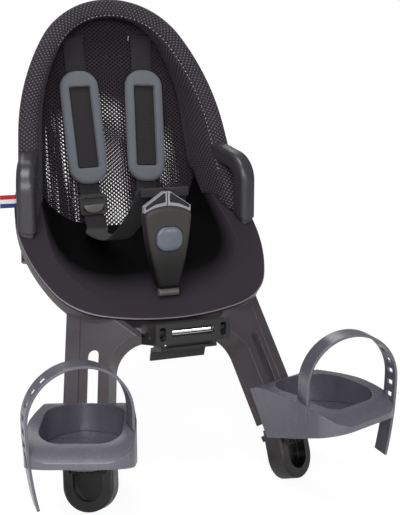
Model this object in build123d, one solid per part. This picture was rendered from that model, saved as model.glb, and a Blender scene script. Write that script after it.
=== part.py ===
from build123d import *
import os
from math import cos, radians, sin, tan

os.makedirs("parts", exist_ok=True)

# A front bicycle seat for a small child: a moulded frame with two turned-out legs carries a dished pan,
# a mesh-covered hoop back, arm guards, a buckle harness, sliding foot cups and a quick-release bracket.
# Millimetres, +Z up, the child faces -Y, and the origin is the middle of the bracket's front face.

# Shared clearances
GAP = 0.3
RUN_GAP = 0.5

# Seat rim, a flat oval flange that climbs from the front edge to the arm guards
RIM_FRONT_Y = 52.0
RIM_FRONT_Z = 1.7
RIM_SLOPE = 31.0
RIM_FRONT_RADIUS = 255.0
RIM_FRONT_SWEEP = 17.0
RIM_CORNER_RADIUS = 72.0
RIM_CORNER_SWEEP = 50.0
RIM_SIDE_RADIUS = 250.0
RIM_TAIL_SWEEP = 27.0
PAN_WALL = 3.0
DISH_START = 14.0
DISH_REACH = 250.0
DISH_DEPTH = 56.0
DISH_HALF = 112.0
DISH_TAIL = 12.0
DISH_FRONT_HALF = 62.0
DISH_SHOULDER = 0.8
DISH_SHOULDER_DROP = 0.62

# Under-shell of the frame
SHELL_WALL = 3.0
SHELL_INSET = 1.5
SHELL_LIP = 13.0
SHELL_DEPTH = 66.0
SHELL_DRAFT = 35.0
SHELL_BACK_TOP = 44.0
SOCKET_RADIUS = 10.0
SOCKET_FLOOR = 5.0

# Back: the hoop leans on one plane, the mesh panel on another behind it
HOOP_Y = 226.7
HOOP_Z = 165.9
HOOP_LEAN = 22.4
HOOP_TOP = 180.0
HOOP_CROWN_RADIUS = 100.0
HOOP_CROWN_SWEEP = 58.0
HOOP_SIDE_RADIUS = 275.0
HOOP_SIDE_SWEEP = 26.0
HOOP_FOOT = -92.0
HOOP_TUBE = 12.0
HOOP_TUBE_WALL = 1.5
HOOP_INSET = 14.0
HOOP_SINK = 8.5
HOOP_TAIL = 34.0
BAND_WIDTH = 21.0
PANEL_Y = 308.0
PANEL_Z = 287.0
PANEL_LEAN = 13.2
PANEL_TOP = 30.0
PANEL_CROWN_RADIUS = 70.0
PANEL_CROWN_SWEEP = 62.0
PANEL_SIDE_RADIUS = 230.0
PANEL_SIDE_SWEEP = 24.0
PANEL_FOOT = -250.0
PANEL_WALL = 4.0
COVER_WALL = 11.0
MESH_COLUMNS = 10
MESH_ROWS = 11
MESH_PITCH = 14.5
MESH_HOLE = 7.0
MESH_TOP = -66.0
TAG_WIDTH = 15.0
TAG_REACH = 17.0
TAG_END = 152.4
TAG_THICK = 1.2
TAG_Y = 215.0
TAG_Z = 107.0

# Arm guards
GUARD_X = 129.6
GUARD_Y = 178.0
GUARD_WIDTH = 20.8
GUARD_DEPTH = 22.0
GUARD_TOP = 152.0
GUARD_ARM_BACK = 32.0
GUARD_ARM_IN = 9.5
GUARD_ARM_RISE = 8.0
GUARD_BEND = 24.0
GUARD_ROUND = 7.0
COLLAR_HEIGHT = 5.0
COLLAR_INSET = 2.2

# Legs: their faces turn outwards and lean forwards, and the slot is a little askew on the face
LEG_X = 89.6
LEG_Y = 55.0
LEG_Z = -25.2
LEG_TURN = 34.0
LEG_LEAN = 32.6
LEG_ROLL = 8.0
LEG_REACH = 163.6
LEG_OUTER = 30.0
LEG_INNER = 17.5
LEG_TOP = 46.0
LEG_DEPTH = 29.0
LEG_PLATE = 4.0
LEG_WALL = 4.0
LEG_GROOVE = 14.5
ARCH_RADIUS = 33.0
ARCH_RISE = 11.0
SLOT_WIDTH = 12.0
SLOT_LENGTH = 112.0
SHOE_RISE = 50.0
SHOE_HALF = 26.0
SHOE_SHIFT = 4.0
SHOE_TILT = 14.0
SHOE_SINK = 2.0
SHOE_LAP = 6.0
SHOE_DEPTH = 20.0
SHOE_RECESS_HALF = 15.5
SHOE_RECESS = 10.0
SHOE_RIM = 10.5
SHOE_ROUND = 3.0
GROOVE = 1.0
NOTCH_HEIGHT = 12.0
NOTCH_LEFT = 12.0

# Foot cups, measured forwards and down from the top of the leg slot
CUP_TURN = 20.0
CUP_HEEL_TOP = 43.0
CUP_HEEL_FOOT = 88.0
CUP_REACH = 168.0
CUP_LIP_TOP = 51.0
CUP_LIP_FOOT = 57.0
CUP_HEEL_HALF = 38.0
CUP_HALF = 50.0
CUP_WIDEST = 108.0
CUP_CORNER = 26.0
CUP_WALL = 4.0
CUP_ROOM_HALF = 38.0
CUP_ROOM_BACK = 51.0
CUP_ROOM_CORNER = 20.0
CUP_TOE_LIP = 21.0
CUP_TOE_LIP_TOP = 41.0
CUP_CREST = 112.0
CUP_CREST_TOP = 35.0
CUP_FLOOR = 64.0
CUP_TOE_FLOOR = 50.0
CUP_BACK = 6.0
CUP_SOLE = 70.0
BLOCK_TOP = 64.0
BLOCK_HEIGHT = 24.0
BLOCK_HALF = 13.0
BLOCK_THICK = 7.0
LOCK_HALF = 32.0
LOCK_TOP = 78.0
LOCK_FOOT = 90.0
LOCK_PLUNGER = 4.0
LOCK_AXIS = 82.5
PAWL_HALF = 20.0
PAWL_HEIGHT = 22.0
PAWL_THICK = 5.0
PAWL_TEETH = 7
PAWL_TOOTH = 4.0

# Foot straps
STRAP_Y = -72.0
STRAP_CENTRE_X = 137.0
STRAP_CENTRE_Z = -45.0
STRAP_RADIUS = 49.0
STRAP_WIDTH = 20.0
STRAP_THICK = 2.6
STRAP_ROOT_Z = -78.0
STRAP_END_X = 177.5
STRAP_END_Z = -126.0
STRAP_HOLES = 6
STRAP_HOLE_LONG = 9.5
STRAP_HOLE_HIGH = 5.5
STRAP_HOLE_STEP = 12.5
STRAP_FREE_END = 62.0

# Harness
WEB_WIDTH = 25.0
WEB_THICK = 1.6
WEB_X = 42.9
WEB_TILT = 2.3
WEB_SLOT_HIGH = 7.0
WEB_RISE = 2.0
WEB_LIFT = 1.0
WEB_BEND = 3.0
WEB_LENGTH = 203.0
PLATE_WIDTH = 126.0
PLATE_HEIGHT = 26.0
PLATE_THICK = 3.0
PAD_WIDTH = 52.0
PAD_LENGTH = 137.0
PAD_THICK = 9.0
PAD_TOP = -41.0
PAD_WINDOW_WIDTH = 29.0
PAD_WINDOW_LENGTH = 98.0
PAD_FLOOR = 4.0
PAD_ROUND = 12.0
PAD_EDGE = 3.0
ADJUSTER_WIDTH = 33.0
ADJUSTER_HEIGHT = 25.0
ADJUSTER_THICK = 6.0
ADJUSTER_BELOW = 12.0
ADJUSTER_ROUND = 4.0
ADJUSTER_BAR = 3.0
LOWER_SAG = 33.0
BUCKLE_Y = 82.0
BUCKLE_TOP_Z = 115.0
BUCKLE_SHOULDER_Z = 108.0
BUCKLE_WAIST_Z = 66.0
BUCKLE_FOOT_Z = 27.0
BUCKLE_TOP_HALF = 25.5
BUCKLE_WAIST_HALF = 20.2
BUCKLE_FOOT_HALF = 11.0
BUCKLE_THICK = 20.0
BUCKLE_BACK = 7.0
BUCKLE_ROUND = 4.5
BUCKLE_EDGE = 4.0
ROLL_RADIUS = 4.3
ROLL_LENGTH = 22.0
ROLL_FORWARD = 4.0
BUTTON_Z = 81.0
BUTTON_RADIUS = 14.5
BUTTON_PROUD = 3.2
BUTTON_TRAVEL = 2.5
BUTTON_SQUASH = 3.0
BUTTON_ROUND = 11.0
BUTTON_THICK = 7.0
BUTTON_EDGE = 1.5
TONGUE_GAP = 1.2
TONGUE_PEAK = 14.5
TONGUE_SHOULDER = 7.0
TONGUE_TIP = 4.0
TONGUE_THICK = 8.0
TONGUE_STRAP_X = 13.5
TONGUE_STRAP_RISE = 8.0
CROTCH_WIDTH = 22.0
CROTCH_DROP = 9.0
CROTCH_BAR = 3.5
CROTCH_GRIP = 25.0

# Quick-release bracket
BRACKET_HALF = 39.5
BRACKET_TOP = 10.5
BRACKET_FOOT = -11.0
BRACKET_DEPTH = 48.0
BRACKET_FALL = 12.5
BRACKET_WALL = 4.0
BRACKET_SLOT_X = 32.2
BRACKET_SLOT_HIGH = 14.5
BRACKET_SLOT_WIDE = 6.6
WINDOW_HALF = 22.5
WINDOW_HIGH = 9.0
BAR_RADIUS = 4.0
BAR_Y = 9.0
BAR_Z = -0.5
BLOCK_WIDE = 30.0
BLOCK_DEPTH = 26.0
LEVER_HALF = 30.0
LEVER_PLATE = 3.0
LEVER_CHEEK = 4.0
LEVER_DROP = 4.5
LEVER_NOSE_Y = 12.0
LEVER_TAIL_Y = 47.0
LEVER_FINGER = 15.0
LEVER_FINGER_LEAN = 5.0
PIVOT_RADIUS = 2.5
PIVOT_HUB = 4.5
PIVOT_Y = 20.0
PIVOT_Z = -9.0
SCREW_X = 20.0
SCREW_Z = -12.0
SCREW_RADIUS = 2.0
SCREW_HEAD = 4.0
SCREW_HEAD_HIGH = 2.2
SCREW_REACH = 12.0


# Frames of reference
def leaning(y, z, lean):
    """A plane across the seat whose front side is tipped upwards from the vertical."""
    return Plane((0, y, z), (1, 0, 0), (0, -cos(radians(lean)), sin(radians(lean))))


RIM = leaning(RIM_FRONT_Y, RIM_FRONT_Z, 90 - RIM_SLOPE)
HOOP = leaning(HOOP_Y, HOOP_Z, HOOP_LEAN)
PANEL = leaning(PANEL_Y, PANEL_Z, PANEL_LEAN)
LEG_FRAME = Pos(LEG_X, LEG_Y, LEG_Z) * Rot(0, 0, LEG_TURN)
LEG_FACE = Plane(LEG_FRAME * Rot(90 - LEG_LEAN, 0, 0) * Rot(0, 0, -LEG_ROLL))
CUP_FRAME = Pos(LEG_X, LEG_Y, LEG_Z) * Rot(0, 0, CUP_TURN)
SIDE_VIEW = Plane((0, 0, 0), (0, -1, 0), (1, 0, 0))
FAR = 600.0


def other_side(shape):
    """The mirror image of a right-hand piece."""
    return mirror(shape, about=Plane.YZ)


def slab(plane, low, high):
    """Everything between two heights over a plane."""
    return extrude(plane.offset(low) * Rectangle(2 * FAR, 2 * FAR), high - low)


def save(name, *solids):
    """Writes one node, a single solid or a group."""
    shape = solids[0] if len(solids) == 1 else Compound(children=list(solids))
    export_step(shape, f"parts/{name}.step")


def arc_chain(start, heading, bends):
    """Tangent arcs one after another: each bend is a radius and a signed sweep."""
    edges = []
    for radius, sweep in bends:
        edges.append(JernArc(start, heading, radius, sweep))
        start = edges[-1] @ 1
        heading = edges[-1] % 1
    return edges


def closed_half(half_path):
    """The face bounded by a half outline, its mirror image and a straight end."""
    mirrored = [edge.mirror(Plane.YZ) for edge in half_path]
    end = half_path[-1] @ 1
    return make_face(half_path + mirrored + [Line(end, (-end.X, end.Y))])


def rim_path(inset):
    """Half of the rim's outline in its own plane, from the front edge round to the tail."""
    bends = [
        (RIM_FRONT_RADIUS - inset, RIM_FRONT_SWEEP),
        (RIM_CORNER_RADIUS - inset, RIM_CORNER_SWEEP),
        (RIM_SIDE_RADIUS - inset, 90 - RIM_FRONT_SWEEP - RIM_CORNER_SWEEP + RIM_TAIL_SWEEP),
    ]
    return arc_chain((0, inset), (1, 0), bends)


RIM_HALF = max(edge.bounding_box().max.X for edge in rim_path(0))


def dish_section(along, share):
    """One cross-section of the dished sheet: flat bands at both sides and a dip between them."""
    side = RIM_HALF + 2 * PAN_WALL
    drop = DISH_DEPTH * (3 - 2 * share) * share**2
    widening = sin(radians(90 * min(1, 2 * share)))
    half = DISH_FRONT_HALF + (DISH_HALF - DISH_FRONT_HALF) * widening - DISH_TAIL * share**2
    frame = Plane(RIM.from_local_coords(Vector(0, along, 0)), (1, 0, 0), -RIM.y_dir)

    def dip(fall):
        shoulder = (DISH_SHOULDER * half, fall - DISH_SHOULDER_DROP * drop)
        mirrored = (-shoulder[0], shoulder[1])
        return Spline((half, fall), shoulder, (0, fall - drop), mirrored, (-half, fall))

    outline = [
        Line((side, 0), (half, 0)),
        dip(0),
        Line((-half, 0), (-side, 0)),
        Line((-side, 0), (-side, -PAN_WALL)),
        Line((-side, -PAN_WALL), (-half, -PAN_WALL)),
        dip(-PAN_WALL),
        Line((half, -PAN_WALL), (side, -PAN_WALL)),
        Line((side, -PAN_WALL), (side, 0)),
    ]
    return frame * make_face(outline)


def arch_path(top, bends, foot):
    """Half of an arch, from the crown down to a straight post that ends at the foot."""
    edges = arc_chain((0, top), (1, 0), bends)
    knee = edges[-1] @ 1
    heading = edges[-1] % 1
    return edges + [Line(knee, knee + heading * ((foot - knee.Y) / heading.Y))]


def hoop_path(inset, foot):
    """Half of the hoop's arch in its plane, moved in by a margin."""
    bends = [(HOOP_CROWN_RADIUS - inset, -HOOP_CROWN_SWEEP), (HOOP_SIDE_RADIUS - inset, -HOOP_SIDE_SWEEP)]
    return arch_path(HOOP_TOP - inset, bends, foot)


def panel_path(grow):
    """Half of the mesh panel's arch in its plane, moved out by a margin."""
    bends = [(PANEL_CROWN_RADIUS + grow, -PANEL_CROWN_SWEEP), (PANEL_SIDE_RADIUS + grow, -PANEL_SIDE_SWEEP)]
    return arch_path(PANEL_TOP + grow, bends, PANEL_FOOT)


def hoop_tube(radius, tail):
    """A round bar along the hoop, from foot to foot."""
    half = hoop_path(HOOP_INSET, HOOP_FOOT - tail)
    route = Wire([edge.mirror(Plane.YZ) for edge in half] + half)
    route = HOOP.offset(-HOOP_SINK) * route
    start = route @ 0
    return sweep(Plane(start, z_dir=route % 0) * Circle(radius), route)


# Seat pan: a dished sheet trimmed to the rim's oval and to the mesh panel behind it
in_front_of_mesh = slab(PANEL, GAP, FAR)
stations = [(-DISH_START, 0.0)]
for share in (0.0, 0.2, 0.42, 0.7, 1.0):
    stations.append((DISH_START + share * (DISH_REACH - DISH_START), share))
dished_sheet = loft([dish_section(along, share) for along, share in stations])
rim_prism = extrude(RIM * closed_half(rim_path(0)), FAR, both=True)
tube_clearance = hoop_tube(HOOP_TUBE / 2 + GAP, HOOP_TAIL + GAP)
crotch_slot = Box(CROTCH_WIDTH + 2 * GAP, 2 * WEB_THICK + 4 * GAP, FAR)
crotch_slot = Pos(0, BUCKLE_Y + BUCKLE_THICK / 2 + WEB_THICK, 0) * crotch_slot
pan = (dished_sheet & rim_prism & in_front_of_mesh) - tube_clearance - crotch_slot
save("seat_pan", pan)

# Hoop: a bent tube whose feet stand in the frame's sockets
hoop_bore = hoop_tube(HOOP_TUBE / 2 - HOOP_TUBE_WALL, HOOP_TAIL + HOOP_TUBE_WALL)
hoop = hoop_tube(HOOP_TUBE / 2, HOOP_TAIL) - hoop_bore
save("back_hoop", hoop)


# Frame: under-shell, hoop sockets, bracket block and two slotted legs in one moulding
def shell_body(wall):
    """The under-shell's outer form, or its hollow when a wall is given."""
    top = RIM.offset(-PAN_WALL - GAP)
    lip = extrude(top * closed_half(rim_path(SHELL_INSET + wall)), -SHELL_LIP)
    outline = top.offset(-SHELL_LIP) * closed_half(rim_path(SHELL_INSET + wall))
    tub = extrude(outline, -(SHELL_DEPTH - SHELL_LIP - wall), taper=SHELL_DRAFT)
    return lip + tub


def leg_outline(inset):
    """The leg's front in its face plane: a strip whose inner edge sweeps into the arch between the legs."""
    outer = LEG_OUTER - inset
    inner = inset - LEG_INNER
    radius = ARCH_RADIUS + inset
    arch_low = ARCH_RISE - ARCH_RADIUS
    arch_end = (inner - radius, arch_low + radius)
    foot = SHOE_RISE - LEG_REACH + inset
    top = LEG_TOP - inset
    arch = JernArc((inner, arch_low), (0, 1), radius, 90)
    corners = [(arch_end[0], top), (outer, top), (outer, foot), (inner, foot)]
    side = Polyline(arch_end, *corners, (inner, arch_low))
    return make_face([arch] + list(side.edges()))


def shoe_outline(half, low, high):
    """A strip with a round lower end."""
    middle = (low + half + high) / 2
    return Pos(0, low + half) * Circle(half) + Pos(0, middle) * Rectangle(2 * half, high - low - half)


def right_leg():
    """One leg: a slotted channel that ends in an upright round-toed shoe."""
    channel = extrude(LEG_FACE * leg_outline(0), -LEG_DEPTH)
    pocket = extrude(LEG_FACE.offset(-LEG_PLATE) * leg_outline(LEG_WALL), -LEG_DEPTH)
    shoe_top = SHOE_RISE - LEG_REACH
    shoe_face = Plane(LEG_FACE.location * Pos(SHOE_SHIFT, shoe_top, -SHOE_SINK) * Rot(SHOE_TILT, 0, 0))
    shoe = extrude(shoe_face * shoe_outline(SHOE_HALF, -SHOE_RISE, SHOE_LAP), -SHOE_DEPTH)
    front = shoe.faces().sort_by(Axis(shoe_face.origin, shoe_face.z_dir))[-1]
    shoe = fillet(front.outer_wire().edges(), SHOE_ROUND)
    well = shoe_outline(SHOE_RECESS_HALF, SHOE_RIM - SHOE_RISE, -SHOE_RIM)
    shoe -= extrude(shoe_face * well, -SHOE_RECESS)
    notch_frame = LEG_FACE.offset(-NOTCH_LEFT)
    notch_mid = shoe_top + NOTCH_HEIGHT / 2 + SHOE_LAP
    notch = extrude(notch_frame * Pos(0, notch_mid) * Rectangle(4 * LEG_OUTER, NOTCH_HEIGHT), -LEG_DEPTH)
    slot_mid = -SLOT_LENGTH / 2
    slot = Pos(0, slot_mid) * SlotOverall(SLOT_LENGTH, SLOT_WIDTH, rotation=90)
    slot = extrude(LEG_FACE * slot, -2 * LEG_PLATE)
    groove = extrude(LEG_FACE * Pos(LEG_GROOVE, 0) * Rectangle(GROOVE, 2 * LEG_REACH), -GROOVE)
    return channel - pocket - notch + shoe - slot - groove


below_pan = slab(RIM, -FAR, -PAN_WALL - GAP)
shell_hollow = shell_body(SHELL_WALL) & slab(PANEL, GAP + SHELL_WALL, FAR)
panel_foot = panel_path(0)[-1] @ 1
back_opening = Pos(0, PANEL_Y, SHELL_BACK_TOP + FAR / 2) * Box(2 * (panel_foot.X + 2 * SHELL_WALL), FAR, FAR)
shell = (shell_body(0) & in_front_of_mesh) - (back_opening & slab(PANEL, 0, 4 * SHELL_WALL))
bracket_room = Box(2 * (BRACKET_HALF + GAP), 2 * (BRACKET_DEPTH + GAP), FAR)
leg = (right_leg() & below_pan) - bracket_room
tube_plane = HOOP.offset(-HOOP_SINK)
tube_post = hoop_path(HOOP_INSET, HOOP_FOOT - HOOP_TAIL)[-1]
tube_foot = tube_plane.from_local_coords(tube_post @ 1)
tube_axis = (tube_plane.from_local_coords(tube_post @ 0) - tube_foot).normalized()
socket_base = Plane(tube_foot - tube_axis * SOCKET_FLOOR, z_dir=tube_axis)
socket = extrude(socket_base * Circle(SOCKET_RADIUS), 3 * HOOP_TAIL) & below_pan
block_low = BRACKET_FOOT - BRACKET_FALL
block_high = BRACKET_TOP - BRACKET_FALL - BRACKET_WALL
block = Box(2 * BLOCK_WIDE, BLOCK_DEPTH, block_high - block_low)
block = Pos(0, BRACKET_DEPTH + GAP + BLOCK_DEPTH / 2, (block_low + block_high) / 2) * block & below_pan
screw_seats = [Pos(side * SCREW_X, BRACKET_DEPTH, SCREW_Z) * Rot(-90, 0, 0) for side in (-1, 1)]
screw_holes = [seat * Cylinder(SCREW_RADIUS + GAP, 2 * (SCREW_REACH + 2 * GAP)) for seat in screw_seats]
frame = shell + [leg, other_side(leg), block] - shell_hollow
frame = frame + [socket, other_side(socket)] - tube_clearance - screw_holes
save("seat_frame", frame)

# Mesh cover: a rolled front band over the hoop, two side walls and a see-through panel in one bag
cover_front = HOOP * closed_half(hoop_path(0, HOOP_FOOT))
cover_outer = loft([cover_front, PANEL.offset(-PANEL_WALL) * closed_half(panel_path(COVER_WALL))])
cover_inner = loft([HOOP * closed_half(hoop_path(BAND_WIDTH, HOOP_FOOT)), PANEL * closed_half(panel_path(0))])
below_rim = slab(RIM, -FAR, RUN_GAP) & slab(PANEL, 0, FAR)
cover = cover_outer - cover_inner - below_rim - tube_clearance
web_slots = Sketch()
for side in (-1, 1):
    web_slots += Pos(side * WEB_X, 0) * Rectangle(WEB_WIDTH + 10 * GAP, WEB_SLOT_HIGH)
mesh_rows = []
for row in range(MESH_ROWS):
    shift = (row % 2 - 0.5) * MESH_PITCH / 2
    for column in range(MESH_COLUMNS):
        across = (column - (MESH_COLUMNS - 1) / 2) * MESH_PITCH + shift
        hole = Rectangle(MESH_HOLE, MESH_HOLE, rotation=45)
        mesh_rows.append(Pos(across, MESH_TOP - row * MESH_PITCH) * hole)
cover -= extrude(PANEL * (web_slots + mesh_rows), PANEL_WALL + GAP, both=True)
save("back_cover", cover)

# Strap plate behind the panel, with the same two slots
plate = Rectangle(PLATE_WIDTH, PLATE_HEIGHT) - web_slots
plate = extrude(PANEL.offset(-PANEL_WALL - GAP) * plate, -PLATE_THICK)
save("strap_plate", plate)

# Ribbon tag sewn into the left side seam
tag = Pos(TAG_REACH - TAG_END, TAG_Y, TAG_Z) * Box(2 * TAG_REACH, TAG_THICK, TAG_WIDTH)
tag = ((tag & slab(RIM, RUN_GAP, FAR)) - cover_outer).solids().sort_by(Axis.X)[0]
save("ribbon_tag", tag)

# Arm guards: a padded post that bends back from the rim to the hoop band
guard_mid = GUARD_TOP - GUARD_DEPTH / 2
guard_rise = RIM_FRONT_Z + (GUARD_Y - RIM_FRONT_Y) * tan(radians(RIM_SLOPE))
arm_heading = Vector(-GUARD_ARM_IN, GUARD_ARM_BACK, 0)
guard_plane = Plane((GUARD_X, GUARD_Y, 0), arm_heading, arm_heading.cross(Vector(0, 0, 1)))
arm_back = 2 * GUARD_ARM_BACK
arm_end = (arm_back, guard_mid + arm_back * GUARD_ARM_RISE / GUARD_ARM_BACK)
guard_route = FilletPolyline((0, guard_rise - GUARD_DEPTH), (0, guard_mid), arm_end, radius=GUARD_BEND)
guard_route = guard_plane * guard_route
guard_section = RectangleRounded(GUARD_DEPTH, GUARD_WIDTH, GUARD_ROUND)
guard = sweep(Plane(guard_route @ 0, guard_plane.x_dir, (0, 0, 1)) * guard_section, guard_route)
guard = guard & slab(RIM, COLLAR_HEIGHT + 2 * GAP, FAR) & slab(HOOP, RUN_GAP, FAR)
save("guard_right", guard)
save("guard_left", other_side(guard))
collar_wide = GUARD_WIDTH - 2 * COLLAR_INSET
collar_deep = GUARD_DEPTH - 2 * COLLAR_INSET
collar_section = RectangleRounded(collar_deep, collar_wide, GUARD_ROUND - COLLAR_INSET)
collar_plane = Plane((GUARD_X, GUARD_Y, guard_rise - GUARD_DEPTH), guard_plane.x_dir, (0, 0, 1))
collar = extrude(collar_plane * collar_section, 2 * GUARD_DEPTH)
collar = collar & slab(RIM, GAP, COLLAR_HEIGHT + GAP)
save("guard_collars", collar, other_side(collar))

# Shoulder webbing: over the strap plate, through the panel and down to the adjuster
web_frame = Location(PANEL) * Pos(WEB_X, 0, 0) * Rot(0, 0, -WEB_TILT)
web_behind = -PANEL_WALL - PLATE_THICK - 2 * GAP - WEB_THICK / 2
web_front = WEB_LIFT + WEB_THICK / 2
web_route = FilletPolyline(
    (-PLATE_HEIGHT / 2, web_behind), (WEB_RISE, web_behind),
    (WEB_RISE, web_front), (-WEB_LENGTH, web_front), radius=WEB_BEND,
)
web_route = Plane.YZ * web_route
web_start = Plane(web_route @ 0, x_dir=(1, 0, 0), z_dir=web_route % 0)
shoulder_web = sweep(web_start * Rectangle(WEB_WIDTH, WEB_THICK), web_route)
shoulder_web = web_frame * shoulder_web
save("shoulder_strap_right", shoulder_web)
save("shoulder_strap_left", other_side(shoulder_web))

# Shoulder pads: a soft frame with a long window over the webbing
pad_base = WEB_LIFT + WEB_THICK + GAP
pad = extrude(Plane.XY.offset(pad_base) * RectangleRounded(PAD_WIDTH, PAD_LENGTH, PAD_ROUND), PAD_THICK)
pad = fillet(pad.edges().group_by(Axis.Z)[-1], PAD_EDGE)
pad_window = RectangleRounded(PAD_WINDOW_WIDTH, PAD_WINDOW_LENGTH, PAD_EDGE)
pad -= extrude(Plane.XY.offset(pad_base + PAD_FLOOR) * pad_window, PAD_THICK)
pad = web_frame * Pos(0, PAD_TOP - PAD_LENGTH / 2, 0) * pad
save("shoulder_pad_right", pad)
save("shoulder_pad_left", other_side(pad))

# Strap adjusters: a three-bar slide at the lower end of the webbing
adjuster_low = -WEB_LENGTH + ADJUSTER_HEIGHT / 2 - ADJUSTER_BELOW
adjuster = RectangleRounded(ADJUSTER_WIDTH, ADJUSTER_HEIGHT, ADJUSTER_ROUND)
adjuster = extrude(Plane.XY.offset(pad_base) * adjuster, ADJUSTER_THICK)
for along in (-1, 1):
    opening = Box(WEB_WIDTH + 2 * GAP, ADJUSTER_BAR, 2 * ADJUSTER_BAR)
    adjuster -= Pos(0, along * ADJUSTER_HEIGHT / 4, pad_base + ADJUSTER_THICK) * opening
adjuster = web_frame * Pos(0, adjuster_low, 0) * adjuster
save("strap_adjuster_right", adjuster)
save("strap_adjuster_left", other_side(adjuster))

# Buckle: two half shells, a sprung button and two pointed tongues
buckle_foot = (BUCKLE_FOOT_HALF, BUCKLE_FOOT_Z)
buckle_shoulder = (BUCKLE_TOP_HALF, BUCKLE_SHOULDER_Z)
buckle_top = ThreePointArc(buckle_shoulder, (0, BUCKLE_TOP_Z), (-BUCKLE_TOP_HALF, BUCKLE_SHOULDER_Z))
buckle_half = [
    Line((0, BUCKLE_FOOT_Z), buckle_foot),
    ThreePointArc(buckle_foot, (BUCKLE_WAIST_HALF, BUCKLE_WAIST_Z), buckle_shoulder),
]
buckle_outline = make_face(buckle_half + [buckle_top] + [edge.mirror(Plane.YZ) for edge in buckle_half])
buckle_outline = fillet(buckle_outline.vertices().filter_by(lambda corner: corner.X != 0), BUCKLE_ROUND)
buckle_face = Plane((0, BUCKLE_Y - BUCKLE_THICK / 2, 0), (1, 0, 0), (0, -1, 0))
buckle_front = extrude(buckle_face * buckle_outline, -(BUCKLE_THICK - BUCKLE_BACK - GAP))
buckle_front = fillet(buckle_front.faces().sort_by(Axis.Y)[0].edges(), BUCKLE_EDGE)
button_shape = RectangleRounded(2 * BUTTON_RADIUS, 2 * BUTTON_RADIUS - BUTTON_SQUASH, BUTTON_ROUND)
button_shape = Pos(0, BUTTON_Z) * button_shape
well_depth = BUTTON_THICK - BUTTON_PROUD + BUTTON_TRAVEL + RUN_GAP
buckle_front -= extrude(buckle_face * offset(button_shape, RUN_GAP), -well_depth)
save("buckle_front", buckle_front)
buckle_back = extrude(buckle_face.offset(BUCKLE_BACK - BUCKLE_THICK) * buckle_outline, -BUCKLE_BACK)
save("buckle_back", buckle_back)
button = extrude(buckle_face.offset(BUTTON_PROUD - BUTTON_THICK) * button_shape, BUTTON_THICK)
button = fillet(button.faces().sort_by(Axis.Y)[0].edges(), BUTTON_EDGE)
save("buckle_button", button)
roll = Rot(0, 90, 0) * Cylinder(ROLL_RADIUS, ROLL_LENGTH)
roll = Pos(0, BUCKLE_Y - ROLL_FORWARD, BUCKLE_FOOT_Z - GAP - ROLL_RADIUS) * roll
save("crotch_roll", roll)
tongue_low = BUCKLE_TOP_Z + GAP
tongue_high = tongue_low + TONGUE_PEAK
tongue_half = [
    Line((BUCKLE_TOP_HALF, BUCKLE_SHOULDER_Z + GAP), (BUCKLE_TOP_HALF, BUCKLE_SHOULDER_Z + TONGUE_SHOULDER)),
    Line((BUCKLE_TOP_HALF, BUCKLE_SHOULDER_Z + TONGUE_SHOULDER), (TONGUE_TIP, tongue_high)),
    Line((TONGUE_TIP, tongue_high), (0, tongue_high)),
]
tongue_foot = Pos(0, GAP) * buckle_top
tongue = make_face(tongue_half + [tongue_foot] + [edge.mirror(Plane.YZ) for edge in tongue_half])
tongue &= Pos(TONGUE_GAP / 2 + BUCKLE_TOP_HALF, BUCKLE_TOP_Z) * Rectangle(2 * BUCKLE_TOP_HALF, BUCKLE_TOP_Z)
tongue = extrude(Plane((0, BUCKLE_Y - TONGUE_THICK / 2, 0), (1, 0, 0), (0, -1, 0)) * tongue, -TONGUE_THICK)
save("buckle_tongue_right", tongue)
save("buckle_tongue_left", other_side(tongue))

# Lower webbing: hangs from the adjuster and rises to the tongue
lower_high = adjuster_low - ADJUSTER_HEIGHT / 2 - WEB_THICK
lower_start = (web_frame * Pos(0, lower_high, pad_base + ADJUSTER_THICK / 2)).position
lower_end = Vector(TONGUE_STRAP_X, BUCKLE_Y + TONGUE_THICK / 2 + WEB_THICK, tongue_low + TONGUE_STRAP_RISE)
lower_mid = (lower_start + lower_end) * 0.5 - Vector(0, 0, LOWER_SAG)
lower_route = ThreePointArc(lower_start, lower_mid, lower_end)
lower_across = (lower_end - lower_start).cross(Vector(0, 0, 1)).normalized()
lower_plane = Plane(lower_route @ 0, x_dir=lower_across, z_dir=lower_route % 0)
lower_web = sweep(lower_plane * Rectangle(WEB_WIDTH, WEB_THICK), lower_route)
save("lower_strap_right", lower_web)
save("lower_strap_left", other_side(lower_web))

# Crotch webbing: up behind the buckle, through the pan and round a bar beneath it
crotch_y = BUCKLE_Y + BUCKLE_THICK / 2 + GAP + WEB_THICK / 2
crotch_rim = RIM_FRONT_Z + (crotch_y - RIM_FRONT_Y) * tan(radians(RIM_SLOPE))
crotch_low = crotch_rim - CROTCH_DROP - 2 * CROTCH_BAR
crotch_high = BUCKLE_FOOT_Z + CROTCH_GRIP
crotch_web = Box(CROTCH_WIDTH, WEB_THICK, crotch_high - crotch_low)
crotch_web = Pos(0, crotch_y, (crotch_high + crotch_low) / 2) * crotch_web
save("crotch_strap", crotch_web)
bar_slot = Box(CROTCH_WIDTH + 2 * GAP, WEB_THICK + 2 * GAP, FAR)
crotch_bar = Box(CROTCH_WIDTH + 2 * CROTCH_BAR, 2 * CROTCH_BAR, 2 * CROTCH_BAR) - bar_slot
crotch_bar = Pos(0, crotch_y, crotch_rim - CROTCH_DROP - CROTCH_BAR) * crotch_bar
save("crotch_bar", crotch_bar)


# Bracket: an open-bottomed housing with a lock bar behind its window
def bracket_line(edge, along):
    """Height of the bracket's sloping top or bottom edge at a distance behind its face."""
    return edge - BRACKET_FALL * along / BRACKET_DEPTH


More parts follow.
